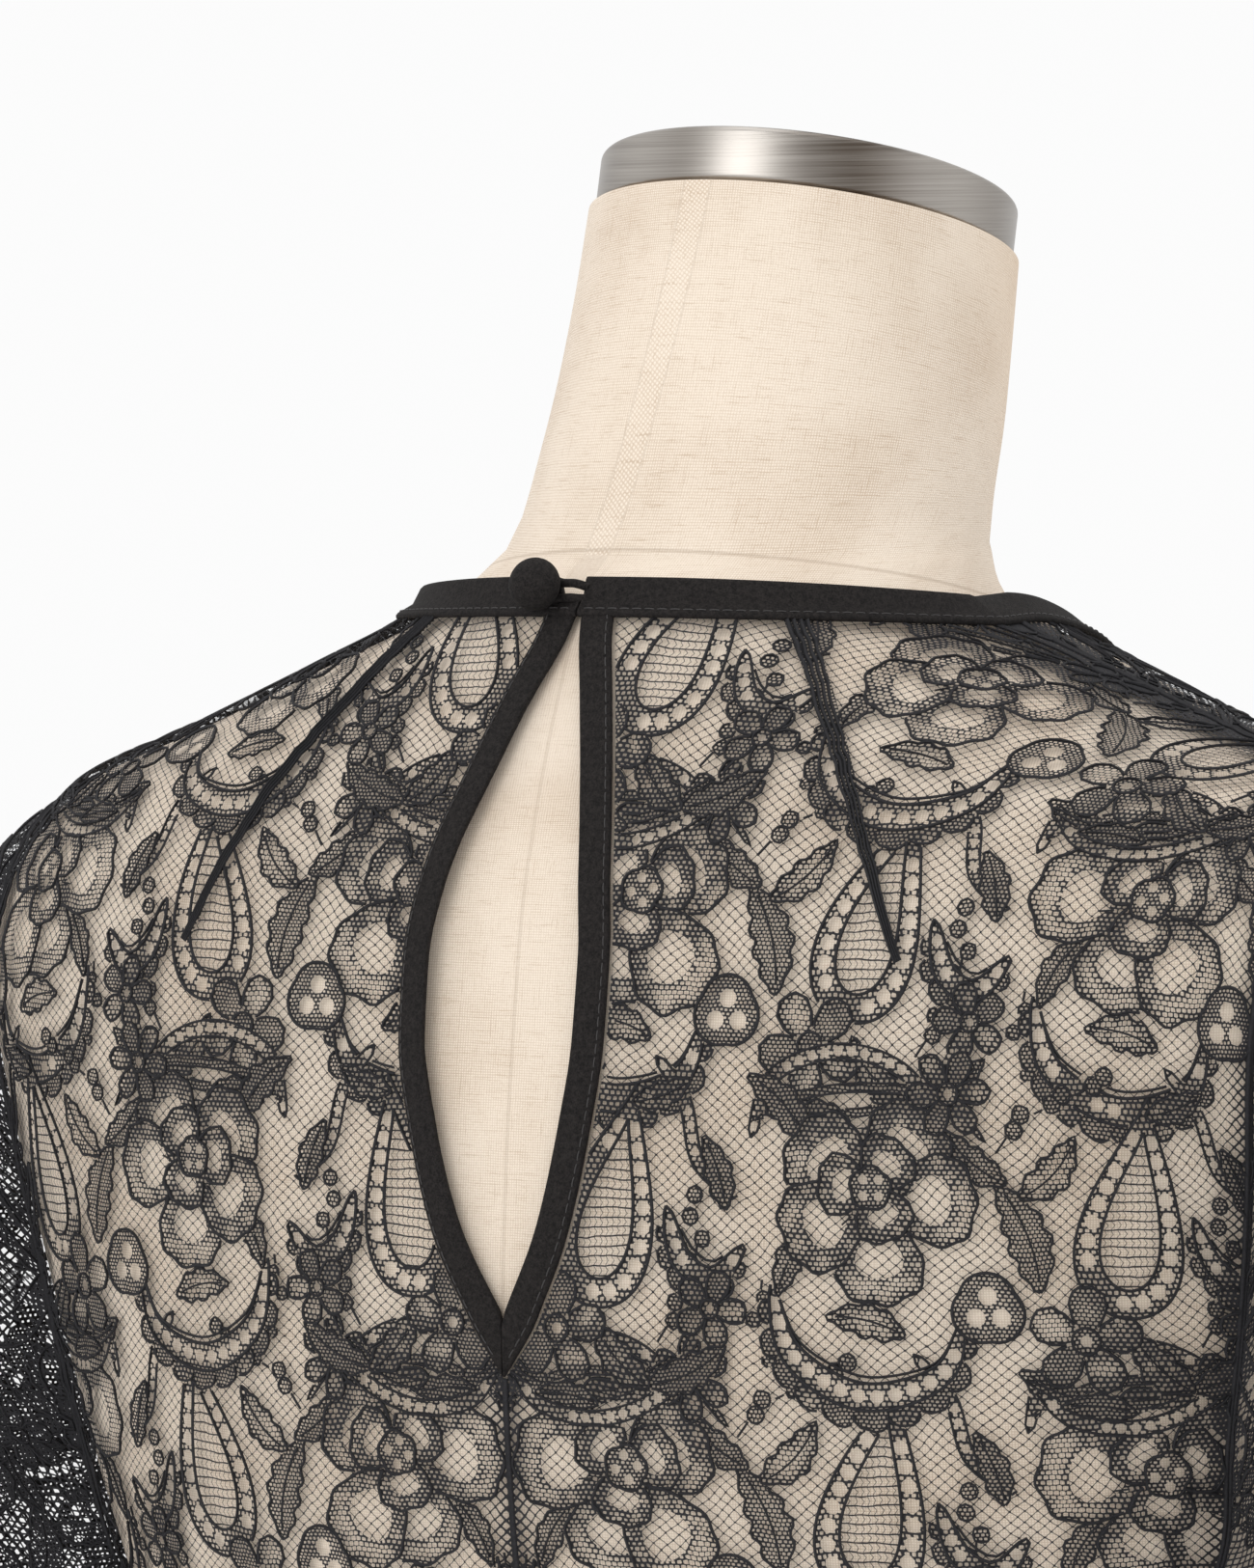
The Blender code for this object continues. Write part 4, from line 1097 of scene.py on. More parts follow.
def linen_material():
    """Plain weave with slubs and faint stains, a bias strip up the neck and two seams, and painted
    shade toward the front.
    """
    shade = Shade("linen", colours().linen_light, 0.9, Sheen_Weight=0.1)
    vector, u, v = shade.flat()
    x, y, z = shade.axes(shade.node("ShaderNodeTexCoord", "Object"))
    back = soft_step(y, 0.0, 0.01)
    neck = soft_step(z, 0.624, 0.632)
    from_strip = abs(x - (NECK_SECTIONS[-1][0] * MM - z) * STRIP_SLANT) * TO_MM
    behind = soft_step(y, -0.03, -0.02) * neck
    strip = (1.0 - soft_step(from_strip, STRIP_HALF - 0.2, STRIP_HALF + 0.2)) * behind
    u = u + (shade.noise(vector, 260.0) - 0.5) * 0.5
    v = v + (shade.noise(vector, 190.0) - 0.5) * 0.4
    across = u + strip * (v - u) * 0.4
    up = v - strip * (u + v) * 0.4
    warp = (across * (2 * math.pi * MM / sizes().warp_pitch)).math("SINE") * 0.5 + 0.5
    weft = (up * (2 * math.pi * MM / sizes().weft_pitch)).math("SINE") * 0.5 + 0.5
    weave = warp * weft
    level_threads = shade.stretched(vector, (130.0, 1500.0, 1.0))
    upright_threads = shade.stretched(vector, (1500.0, 130.0, 1.0))
    slub = shade.noise(level_threads, 1.0, 3.0).most(shade.noise(upright_threads, 1.0, 3.0) - 0.03)
    cloud = soft_step(shade.noise(vector, 26.0, 3.0), 0.35, 0.75)
    grain = shade.noise(vector, 1400.0, 1.0)
    tone = weave * -1.1 + soft_step(slub, 0.5, 0.8) * 0.45 + cloud * 0.38 + grain * 0.5 + 0.22
    light = shade.blend(tone, colours().linen_light, colours().linen_dark)
    centre = abs(x - CENTRE_SEAM) * TO_MM
    seam = (1.0 - soft_step(centre, 0.15, 0.8)) * back * (1.0 - neck)
    collar = abs(z - NECK_SEAM_HEIGHT - (y - NECK_SEAM_Y) * NECK_SEAM_SLOPE) * TO_MM
    edges = (1.0 - soft_step(abs(from_strip - STRIP_HALF), 0.1, 0.5)) * behind
    line = (seam * 0.6).most(1.0 - soft_step(collar, 0.15, 0.7)).most(edges * 0.22)
    # painted shade: the linen turns darker and warmer toward the front, away from the lights
    light = shade.blend(soft_step(y * -1.0, 0.03, 0.085) * 0.32, light, FRONT_SHADE_LINEN)
    shade.set("Base Color", shade.blend(line * 0.35, light, SEAM_SHADOW))
    shade.bump(weave * 0.6 + slub * 0.5 - line * 1.5 + strip * 0.6, 0.35, 0.0004)
    return shade.material


# Way from the cap's middle to the camera, from which the painted reflection bands are turned, and how
# far its middle lies in front of the origin
CAP_FACING = (-0.518, 0.855)
CAP_FORWARD = 0.0567
# Painted reflection bands round the cap: turn of the middle in radians from the way to the camera, half
# width, brightness
PAINTED_REFLECTION_BANDS = (
    (-0.9, 0.35, 0.12),
    (-0.33, 0.34, 0.26),
    (0.2, 0.4, -0.2),
    (0.75, 0.4, 0.14),
)


def steel_material():
    """Steel brushed round its rim, with painted reflections as broad lighter and darker bands set by
    their turn from the camera.
    """
    shade = Shade("steel", colours().steel_light, 0.32, Metallic=1.0)
    place = shade.node("ShaderNodeTexCoord", "Object")
    x, y, _ = shade.axes(place)
    y = y + CAP_FORWARD
    facing_x, facing_y = CAP_FACING
    around = (y * facing_x - x * facing_y).math("ARCTAN2", x * facing_x + y * facing_y)
    scratch = shade.noise(shade.stretched(place, (18.0, 18.0, 2400.0)), 1.0, 4.0)
    tone = (scratch - 0.5) * 0.4 + 0.27
    rim = soft_step((x * x + y * y) ** 0.5, 0.038, 0.047)
    # painted reflection: lighter and darker bands by their turn from the camera, on the rim only
    for middle, reach, weight in PAINTED_REFLECTION_BANDS:
        tone = tone + (1.0 - soft_step(abs(around - middle), 0.0, reach)) * rim * weight
    shade.set("Base Color", shade.blend(tone, colours().steel_dark, colours().steel_light))
    shade.set("Roughness", scratch * 0.25 + 0.22)
    shade.bump(scratch, 0.25, 0.0002)
    return shade.material


def plain_material(name, colour, roughness):
    return Shade(name, colour, roughness).material


MADE = {}


def shared(name, maker, *details):
    """A material made once and used by several pieces."""
    if name not in MADE:
        MADE[name] = maker(*details)
    return MADE[name]


def lace_materials():
    kinds = ("net", "fine", "open", "dense", "ladder")
    return kinds, [shared("lace_" + kind, lace_material, kind) for kind in kinds]


# Lace panels


def cells_over(outline):
    low, high = outline.min(axis=0) - 70, outline.max(axis=0) + 110
    start = np.array(REPEAT_START)
    size = np.array([REPEAT_ACROSS, REPEAT_UP])
    first = np.floor((low - start) / size).astype(int)
    last = np.ceil((high - start) / size).astype(int)
    return [
        start + size * (i, j)
        for i in range(first[0], last[0] + 1)
        for j in range(first[1], last[1] + 1)
    ]


def touches(line, outline):
    low, high = outline.min(axis=0), outline.max(axis=0)
    return (line.max(axis=0) > low).all() and (line.min(axis=0) < high).all()


def nearest(points, line):
    """Distance from each point to the nearest point of a line."""
    tree = kdtree.KDTree(len(line))
    for i, point in enumerate(line):
        tree.insert((*point, 0.0), i)
    tree.balance()
    return np.array([tree.find((*point, 0.0))[2] for point in points])


def inner_lattice(outline, spacing):
    low, high = outline.min(axis=0), outline.max(axis=0)
    rows = []
    for row, up in enumerate(np.arange(low[1], high[1], spacing * 0.87)):
        across = np.arange(low[0] + (row % 2) * spacing / 2, high[0], spacing)
        rows.append(np.stack([across, np.full(len(across), up)], axis=1))
    points = np.concatenate(rows)
    points = points[inside(outline, points)]
    return points[nearest(points, outline) > spacing * 0.4]


def sheet_areas(outline, step, dart):
    """All that a panel is cut by, as flat lines, each with its rank and kind; the panel is first."""
    lace = shared("repeat", lace_repeat)
    areas = [(outline, -1, "net")]
    for shift in cells_over(outline):
        for rank, (kind, area) in enumerate(lace.areas):
            line = area + shift
            if step:
                closed = np.vstack([line, line[:1]])
                line = respaced(closed, min(step, lengths(closed)[-1] / 9))[:-1]
            if touches(line, outline) and inside(outline, line).any():
                areas.append((line, rank, kind))
        for x, y, radius in lace.eyelets:
            hole = round_hole(x, y, radius) + shift
            wide = round_hole(x, y, radius + 1.4) + shift
            if touches(wide, outline) and inside(outline, wide).all():
                areas.append((hole, HOLE_RANK, "hole"))
    if dart is not None:
        areas.append((dart, DART_RANK, "dense"))
    return areas


def cut_ground(areas, kinds):
    """A panel's flat points, which of them lie on a motif's edge, and its triangles by kind."""
    lines = [turned_left(line) for line, _, _ in areas]
    starts = np.cumsum([0, *(len(line) for line in lines)])
    faces = [list(range(first, after)) for first, after in zip(starts, starts[1:])]
    places = np.concatenate([*lines, inner_lattice(lines[0], LATTICE)])
    vectors = [Vector(place) for place in places]
    found, _, triangles, sources, _, owners = geometry.delaunay_2d_cdt(vectors, [], faces, 0, 1e-5)
    flat = np.array([tuple(place) for place in found])
    edge = np.array([not own or min(own) < starts[-1] for own in sources], float)
    kept, index = [], []
    for triangle, owner in zip(triangles, owners):
        if 0 not in owner:
            continue
        _, kind = max(areas[k][1:] for k in owner)
        if kind != "hole":
            kept.append(triangle)
            index.append(kinds.index(kind))
    used, kept = np.unique(kept, return_inverse=True)
    return flat[used], edge[used], kept.reshape(-1, 3), index


def add_lace_sheet(name, outline, seams, cloth, sign, height, closer, step, dart=None):
    """A panel of lace: its ground as one sheet by kind, with its eyelets cut out."""
    kinds, materials = lace_materials()
    flat, edge, kept, index = cut_ground(sheet_areas(outline, step, dart), kinds)
    border = np.full(len(flat), closer)
    for seam, reach, weight in seams:
        border = np.maximum(border, weight * (1 - nearest(flat, respaced(seam, 1.5)) / reach))
    surface, normals = cloth.at(flat, height, sign)
    if dart is not None:
        surface += normals * np.where(inside(dart, flat), 0.5, 0.0)[:, None]
    first, second, third = (surface[corner] for corner in kept.T)
    facing = np.cross(second - first, third - first)
    wrong = (facing * normals[kept[:, 0]]).sum(axis=1) < 0
    kept[wrong] = kept[wrong][:, ::-1]
    return mesh_object(
        name, surface, kept, materials, index, flat * MM, {"edge": edge, "border": border}
    )


def runs_inside(outline, line):
    """The stretches of a line that lie inside an outline."""
    return [line[run] for run in runs_of(inside(outline, line))]


def add_cords(name, outline, seams, cloth, sign, height, step, dart=None):
    """The heavier threads that outline the lace's motifs, and the ridges of its seams."""
    lace = shared("repeat", lace_repeat)
    lines, radii = [], []
    for shift in cells_over(outline):
        for line, weight in lace.cords:
            if touches(line + shift, outline):
                for run in runs_inside(outline, line + shift):
                    run = respaced(run, step) if step else run
                    lines.append(cloth.at(run, height + 0.28, sign))
                    radii.append(sizes().cord_radius / MM * weight)
    for seam, _, _ in seams:
        lines.append(cloth.at(respaced(seam, 3.0), height + 0.2, sign))
        radii.append(sizes().seam_radius / MM)
    if dart is not None:
        half = len(dart) // 2
        for share in DART_CORDS:
            line = dart[:half] * (1 - share) + dart[half:][::-1] * share
            line = line + 0.25 * np.random.default_rng(7).standard_normal(line.shape)
            lines.append(cloth.at(line, height + 0.7, sign))
            radii.append(np.linspace(0.62, 0.35, half))
    points, faces = tube_mesh(lines, radii, 3)
    return mesh_object(name, points, faces, [shared("cord", cord_material)])


def flat_area(outline):
    return abs(signed_area(outline)) * MM * MM


def add_panel(node, outline, seams, cloth, sign, height, closer=0.0, step=0, dart=None):
    """One lace piece: sheet and cords, riding on the part and standing for its solid."""
    sheet = add_lace_sheet(node + "_lace", outline, seams, cloth, sign, height, closer, step, dart)
    cords = add_cords(node + "_cords", outline, seams, cloth, sign, height, step, dart)
    for piece in (sheet, cords):
        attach(piece, "root")
    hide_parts(node)
    flat_area(outline)


# Bindings


def fold(places, wall):
    """Rounded cross-section of a folded strip, from points and outward directions up its inner face."""
    inner = np.array([point for point, _ in places])
    outs = np.array([out / np.linalg.norm(out) for _, out in places])
    r = wall / 2

    def turn_over(end, before, out, way):
        ahead = (end - before) / np.linalg.norm(end - before)
        centre = end - ahead * r + out * r
        turns = np.linspace(math.pi / 2, -math.pi / 2, 5)
        return [centre + r * (math.cos(t) * ahead + math.sin(t) * out * way) for t in turns]

    ring = [point + out * wall * 1.04 for point, out in zip(inner[1:-1], outs[1:-1])]
    ring += turn_over(inner[-1], inner[-2], outs[-1], 1)
    ring += list(inner[1:-1][::-1])
    ring += turn_over(inner[0], inner[1], outs[0], -1)
    return ring


def band_frame(turn):
    """At a turn from the centre back: the band's foot, up, out, the cloth's normal and inwards."""
    point = neckline_point(turn)
    normal = outward(point[None])[0]
    along = neckline_point(turn + 0.04) - neckline_point(turn - 0.04)
    along -= normal * along.dot(normal)
    along /= np.linalg.norm(along)
    inwards = np.cross(normal, along)
    inwards *= np.sign(inwards.dot(NECK_INSIDE - point))
    share = np.clip((math.cos(turn) + 0.7) / 1.4, 0, 1)
    upright = BAND_UPRIGHT * share * share * (3 - 2 * share)
    up = (1 - upright) * inwards + upright * np.array([0.0, 0.0, 1.0])
    up -= along * up.dot(along)
    up /= np.linalg.norm(up)
    out = np.cross(up, along)
    out *= np.sign(out.dot(normal))
    shift = SEAM_GAP + 0.4 + max(0.0, -out.dot(inwards)) * BINDING_WALL
    return point + normal * CLEARANCE + inwards * shift, up, out, normal, inwards


def band_turns(count):
    first = math.asin(SEAM_GAP / NECKLINE_HALF)
    last = 2 * math.pi - first
    turns = np.linspace(0.12, last, 500)
    arc = lengths(np.array([neckline_point(turn) for turn in turns]))
    turns = np.interp(np.linspace(0, arc[-1], count), arc, turns)
    return np.concatenate([np.linspace(first, 0.11, 7), turns])


def band_rows(count):
    """Places up the inner face of the neck band, with its low tab under the button."""
    rows = []
    for turn in band_turns(count):
        foot, up, out, normal, inwards = band_frame(turn)
        past = np.clip((abs(foot[0]) - 5.5) / 2, 0, 1) if turn < 1 else 1.0
        head = foot + up * (0.9 + (BAND_ABOVE - 0.9) * past)
        low = foot - inwards * BAND_BELOW + normal * 0.4
        rows.append([(low, normal), (foot + normal * 0.2, normal + out), (head, out)])
    return rows


def stitches(line, outs, length, gap):
    """Short stitches along a line, just proud of the cloth."""
    arc = lengths(line)
    lines = []
    for start in np.arange(2.0, arc[-1] - length - 1, length + gap):
        at = start + length * np.linspace(0, 1, 4)
        points, normals = places_at(line, arc, at), places_at(outs, arc, at)
        rise = np.array([-0.1, 0.06, 0.06, -0.1])[:, None]
        lines.append((points + normals * rise, normals))
    return tube_mesh(lines, [STITCH_RADIUS] * len(lines), 4)


def add_binding(node, rows, ends, share):
    """A folded crepe strip, stitched at a share of the way between two of its places."""
    rings = [fold(row, BINDING_WALL) for row in rows]
    strip = loft_object(node + "_crepe", rings, shared("crepe", crepe_material))
    fix_facing(strip)
    line = np.array([row[ends[0]][0] * (1 - share) + row[ends[1]][0] * share for row in rows])
    outs = np.array([row[ends[0]][1] for row in rows])
    stitch, gap = sizes().stitch_length / MM, sizes().stitch_gap / MM
    points, faces = stitches(line + outs * (BINDING_WALL + 0.06), outs, stitch, gap)
    stitching = shared("stitching", plain_material, "stitching", colours().stitching, 0.6)
    thread = mesh_object(node + "_stitches", points, faces, [stitching])
    for piece in (strip, thread):
        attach(piece, "root")
    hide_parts(node)


def fix_facing(made):
    """Turns a closed mesh's faces outwards."""
    bpy.ops.object.select_all(action="DESELECT")
    made.select_set(True)
    bpy.context.view_layer.objects.active = made
    bpy.ops.object.mode_set(mode="EDIT")
    bpy.ops.mesh.select_all(action="SELECT")
    bpy.ops.mesh.normals_make_consistent(inside=False)
    bpy.ops.object.mode_set(mode="OBJECT")


def button_frame():
    foot, up, out, _, _ = band_frame(math.asin(BUTTON_X / NECKLINE_HALF))
    return foot + up * BUTTON_RISE + out * (BINDING_WALL + SEAM_GAP), np.cross(up, out), up, out


# Form


def form_rings(sides):
    turns = np.arange(sides) * 2 * math.pi / sides
    sine, cosine = np.sin(turns), np.cos(turns)
    heights = np.concatenate([np.arange(0, 540, 9.0), np.arange(540, 632, 2.5), [632]])
    rings = []
    for z in heights:
        power = section("power", z)
        side = section("side", z)
        x = section("form_half", z) * np.sign(sine) * np.abs(sine) ** (2 / power)
        depth = np.where(cosine > 0, section("form_back", z) - side, side - section("form_front", z))
        y = side + depth * np.sign(cosine) * np.abs(cosine) ** (2 / power)
        rings.append(np.stack([x, y, np.full(sides, float(z))], axis=1))
    keys = np.linspace(0, 1, len(NECK_SECTIONS))
    for share in np.linspace(0.12, 1, 16):
        height, side, half, back, front, lean = (
            smooth(keys, column, np.array(share)) for column in zip(*NECK_SECTIONS)
        )
        tilt = math.radians(lean)
        depth = np.where(cosine > 0, back, front) * cosine
        points = [half * sine, side + depth * math.cos(tilt), height + depth * math.sin(tilt)]
        rings.append(np.stack(points, axis=1))
    return np.array(rings)


def number_ring(mesh):
    """Numbers the first ring's points round from the back; what is extruded keeps the numbers."""
    work = bmesh.from_edit_mesh(mesh)
    work.verts.layers.int.new("row")
    number = work.verts.layers.int.new("number")
    for point in work.verts:
        turn = math.atan2(point.co.x, point.co.y) / (2 * math.pi)
        point[number] = round(turn * FORM_SIDES) % FORM_SIDES


def place_ring(mesh, row, ring):
    """Moves the selected ring of points to its section."""
    work = bmesh.from_edit_mesh(mesh)
    rows = work.verts.layers.int["row"]
    number = work.verts.layers.int["number"]
    for point in work.verts:
        if point.select:
            point[rows] = row
            point.co = ring[point[number]]
    bmesh.update_edit_mesh(mesh)


def lay_cover(mesh, rings):
    """UV of the linen cover: round from the back and up, parted at the front."""
    rounds = np.linalg.norm(np.diff(rings, axis=1, append=rings[:, :1]), axis=2)
    around = np.cumsum(rounds, axis=1) - rounds
    ups = np.linalg.norm(np.diff(rings, axis=0), axis=2).mean(axis=1)
    up = np.concatenate([[0], np.cumsum(ups)])

    def read(items, name, count):
        values = np.empty(count, np.int32)
        items.foreach_get(name, values)
        return values

    corner = read(mesh.loops, "vertex_index", len(mesh.loops))
    row = read(mesh.attributes["row"].data, "value", len(mesh.vertices))[corner]
    number = read(mesh.attributes["number"].data, "value", len(mesh.vertices))[corner]
    starts = read(mesh.polygons, "loop_start", len(mesh.polygons))
    first = number[np.repeat(starts, read(mesh.polygons, "loop_total", len(mesh.polygons)))]
    half = FORM_SIDES // 2
    turns = (number - first < -half).astype(int) - (number - first > half) - (first >= half)
    places = np.stack([around[row, number] + turns * rounds.sum(axis=1)[row], up[row]], axis=1)
    mesh.uv_layers.new(name="Flat").data.foreach_set("uv", places.ravel())


# Add-on


def distance(name, description, millimetres):
    return bpy.props.FloatProperty(
        name=name,
        description=description,
        default=millimetres * MM,
        min=0.0,
        precision=5,
        subtype="DISTANCE",
        unit="LENGTH",
    )


def rotation(name, description, degrees):
    return bpy.props.FloatProperty(
        name=name,
        description=description,
        default=math.radians(degrees),
        subtype="ANGLE",
        unit="ROTATION",
    )


def tint(name, description, colour):
    return bpy.props.FloatVectorProperty(
        name=name,
        description=description,
        default=colour,
        min=0.0,
        max=1.0,
        size=3,
        subtype="COLOR",
    )


class LaceTopSizes(bpy.types.PropertyGroup):
    net_width: distance("Net width", "Width of one hole of the plain net", 3.1)
    net_height: distance("Net height", "Height of one hole of the plain net", 2.6)
    cord_radius: distance("Cord radius", "Radius of the threads that outline the motifs", 0.39)
    seam_radius: distance("Seam radius", "Radius of the ridge over each sewn seam", 0.7)
    stitch_length: distance("Stitch length", "Length of one stitch on a binding", 2.3)
    stitch_gap: distance("Stitch gap", "Space between two stitches on a binding", 0.8)
    loop_radius: distance("Loop radius", "Radius of the button loop's cord", 1.05)
    warp_pitch: distance("Warp pitch", "Spacing of the linen's upright threads", 0.66)
    weft_pitch: distance("Weft pitch", "Spacing of the linen's level threads", 0.6)


class LaceTopColours(bpy.types.PropertyGroup):
    thread_dark: tint("Thread, dark", "Darkest tone of the lace thread", (0.007, 0.007, 0.009))
    thread_light: tint("Thread, light", "Lightest tone of the lace thread", (0.037, 0.036, 0.039))
    crepe_dark: tint("Crepe, dark", "Darkest tone of the bindings", (0.004, 0.0035, 0.0035))
    crepe_light: tint("Crepe, light", "Lightest tone of the bindings", (0.024, 0.0205, 0.0195))
    stitching: tint("Stitching", "Colour of the stitches", (0.04, 0.037, 0.037))
    linen_light: tint("Linen, light", "Lightest tone of the form's cover", (0.84, 0.738, 0.622))
    linen_dark: tint("Linen, dark", "Darkest tone of the form's cover", (0.56, 0.44, 0.33))
    # The two steel tones hold the brushed grain and the painted reflection bands round the cap.
    steel_light: tint("Steel, light", "Brightest band of the cap", (0.8, 0.76, 0.71))
    steel_dark: tint("Steel, dark", "Darkest band of the cap", (0.09, 0.072, 0.058))


class LaceTopStudio(bpy.types.PropertyGroup):
    camera_turn: rotation("Camera turn", "Turn from straight behind, to the wearer's right", 31.2)
    camera_rise: rotation("Camera rise", "Angle of the camera over the aim point", 3.69)
    camera_roll: rotation("Camera roll", "Tilt of the camera about its view", -1.01)
    camera_distance: distance("Camera distance", "From the aim point to the camera", 2020.0)
    light_strength: bpy.props.FloatProperty(
        name="Light strength", description="Factor on every studio light", default=1.0, min=0.0
    )


GROUPS = {
    "lace_top_sizes": LaceTopSizes,
    "lace_top_colours": LaceTopColours,
    "lace_top_studio": LaceTopStudio,
}


def sizes():
    return bpy.context.scene.lace_top_sizes


def colours():
    return bpy.context.scene.lace_top_colours


class OF_OT_form(bpy.types.Operator):
    """Add the linen form with its woven cover"""

    bl_idname = "object.lace_top_form"
    bl_label = "Linen Form"

    def execute(self, context):
        rings = form_rings(FORM_SIDES) * MM
        bpy.ops.object.select_all(action="DESELECT")
        bpy.ops.mesh.primitive_circle_add(vertices=FORM_SIDES, radius=0.16, fill_type="NGON")
        form = context.view_layer.objects.active
        form.name = "form_linen"
        bpy.ops.object.mode_set(mode="EDIT")
        bpy.ops.mesh.select_all(action="SELECT")
        number_ring(form.data)
        place_ring(form.data, 0, rings[0])
        for row in range(1, len(rings)):
            bpy.ops.mesh.extrude_region_move(TRANSFORM_OT_translate={"value": (0, 0, 0.002)})
            place_ring(form.data, row, rings[row])
        bpy.ops.mesh.select_all(action="SELECT")
        bpy.ops.mesh.normals_make_consistent(inside=False)
        bpy.ops.object.mode_set(mode="OBJECT")
        bpy.ops.object.shade_smooth_by_angle(angle=SMOOTH_ANGLE)
        lay_cover(form.data, rings)
        form.data.materials.append(shared("linen", linen_material))
        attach(form, "root")
        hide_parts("form")
        return {"FINISHED"}


class OF_OT_cap(bpy.types.Operator):
    """Add the brushed metal cap on the neck"""

    bl_idname = "object.lace_top_cap"
    bl_label = "Neck Cap"

    def execute(self, context):
        height, side, _, _, _, degrees = NECK_SECTIONS[-1]
        lean = math.radians(degrees)
        axis = Vector((0.0, -math.sin(lean), math.cos(lean)))
        foot = Vector((0.0, side, height)) + axis * SEAM_GAP
        bpy.ops.object.select_all(action="DESELECT")
        bpy.ops.mesh.primitive_cylinder_add(
            vertices=128,
            radius=CAP_HALF_WIDTH * MM,
            depth=CAP_HEIGHT * MM,
            location=(foot + axis * CAP_HEIGHT / 2) * MM,
            rotation=(lean, 0.0, 0.0),
        )
        cap = context.view_layer.objects.active
        cap.name = "neck_cap_steel"
        cap.scale = (1.0, CAP_HALF_DEPTH / CAP_HALF_WIDTH, 1.0)
        bpy.ops.object.transform_apply(location=True, rotation=True, scale=True)
        bevel = cap.modifiers.new("edge", "BEVEL")
        bevel.width = 1.6 * MM
        bevel.segments = 5
        bevel.limit_method = "ANGLE"
        bpy.ops.object.modifier_apply(modifier="edge")
        bpy.ops.object.shade_smooth_by_angle(angle=math.radians(35))
        cap.data.materials.append(shared("steel", steel_material))
        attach(cap, "root")
        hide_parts("neck_cap")
        return {"FINISHED"}


def dart_outline():
    start = np.array(flat_place(1, *DART_TOP)) - [0, 0.5]
    end = np.array(flat_place(1, *DART_END))
    along = (end - start) / np.linalg.norm(end - start)
    across = np.array([-along[1], along[0]])
    s = np.linspace(0, 1, 30)[:, None]
    half = DART_HALF * (1 - 0.65 * s)
    middle = start + (end - start) * s + across * 2.5 * np.sin(math.pi * s)
    return np.vstack([middle + across * half, (middle - across * half)[::-1]])


class OF_OT_back(bpy.types.Operator):
    """Add the two back panels of lace with their darts"""

    bl_idname = "object.lace_top_back"
    bl_label = "Back Panels"

    def execute(self, context):
        height = CLEARANCE + WALL / 2
        for node, sign, side in (("back_right", -1.0, "right"), ("back_left", 1.0, "left")):
            outline, seams = back_outline(side)
            cloth = bodice_cloth(1, lifted=sign > 0)
            add_panel(
                node, outline, seams, cloth, sign, height, dart=dart_outline()
            )
        return {"FINISHED"}


class OF_OT_front(bpy.types.Operator):
    """Add the front panel of lace"""

    bl_idname = "object.lace_top_front"
    bl_label = "Front Panel"

    def execute(self, context):
        outline, seams = front_outline()
        cloth = bodice_cloth(-1)
        height = CLEARANCE + WALL / 2
        add_panel("front", outline, seams, cloth, 1.0, height, step=3.2)
        return {"FINISHED"}


class OF_OT_sleeves(bpy.types.Operator):
    """Add both sleeves, each in a front and a back half"""

    bl_idname = "object.lace_top_sleeves"
    bl_label = "Sleeves"

    def execute(self, context):
        for word, face in (("back", 1), ("front", -1)):
            cloth, outs, long = sleeve_cloth(face)
            half = SLEEVE_GIRTH / 2
            keep = outs < half - 1
            start, end = SEAM_GAP / 2, half - SEAM_GAP / 2
            crown = np.vstack([
                [start, long[0]],
                np.stack([outs[keep][1:], long[keep][1:]], axis=1),
                [end, np.interp(half, outs, long)],
            ])
            top_fold = np.array([(start, 0.0), (start, long[0])])
            under = np.array([crown[-1], (end, 0.0)])
            cuff = np.array([(end, 0.0), (start, 0.0)])
            outline = outline_of(top_fold, crown, under, cuff)
            seams = [(crown, *PLAIN_SEAM), (under, *PLAIN_SEAM)]
            for side, sign in (("right", -1.0), ("left", 1.0)):
                node = f"sleeve_{side}_{word}"
                add_panel(
                    node, outline, seams, cloth, sign, 0.0,
                    closer=0.55, step=2.6,
                )
        return {"FINISHED"}


class OF_OT_bindings(bpy.types.Operator):
    """Add the crepe bindings of the neck and the keyhole"""

    bl_idname = "object.lace_top_bindings"
    bl_label = "Crepe Bindings"

    def execute(self, context):
        add_binding("neck_binding", band_rows(150), (0, 1), 0.3)
        for node, sign, side in (
            ("keyhole_binding_right", -1.0, "right"),
            ("keyhole_binding_left", 1.0, "left"),
        ):
            inner, outer = keyhole_edges(side)
            inner, outer = respaced(inner, 3.0), respaced(outer, 3.0)
            spread = np.linspace(0, 1, min(len(inner), len(outer)))
            inner = places_at(inner, np.linspace(0, 1, len(inner)), spread)
            outer = places_at(outer, np.linspace(0, 1, len(outer)), spread)
            cloth = bodice_cloth(1, lifted=sign > 0)
            feet, normals = cloth.at(inner, CLEARANCE, sign)
            heads, _ = cloth.at(outer, CLEARANCE, sign)
            rows = [
                [(foot, out), ((foot + head) / 2, out), (head, out)]
                for foot, head, out in zip(feet, heads, normals)
            ]
            add_binding(node, rows, (1, 2), 0.72)
        return {"FINISHED"}


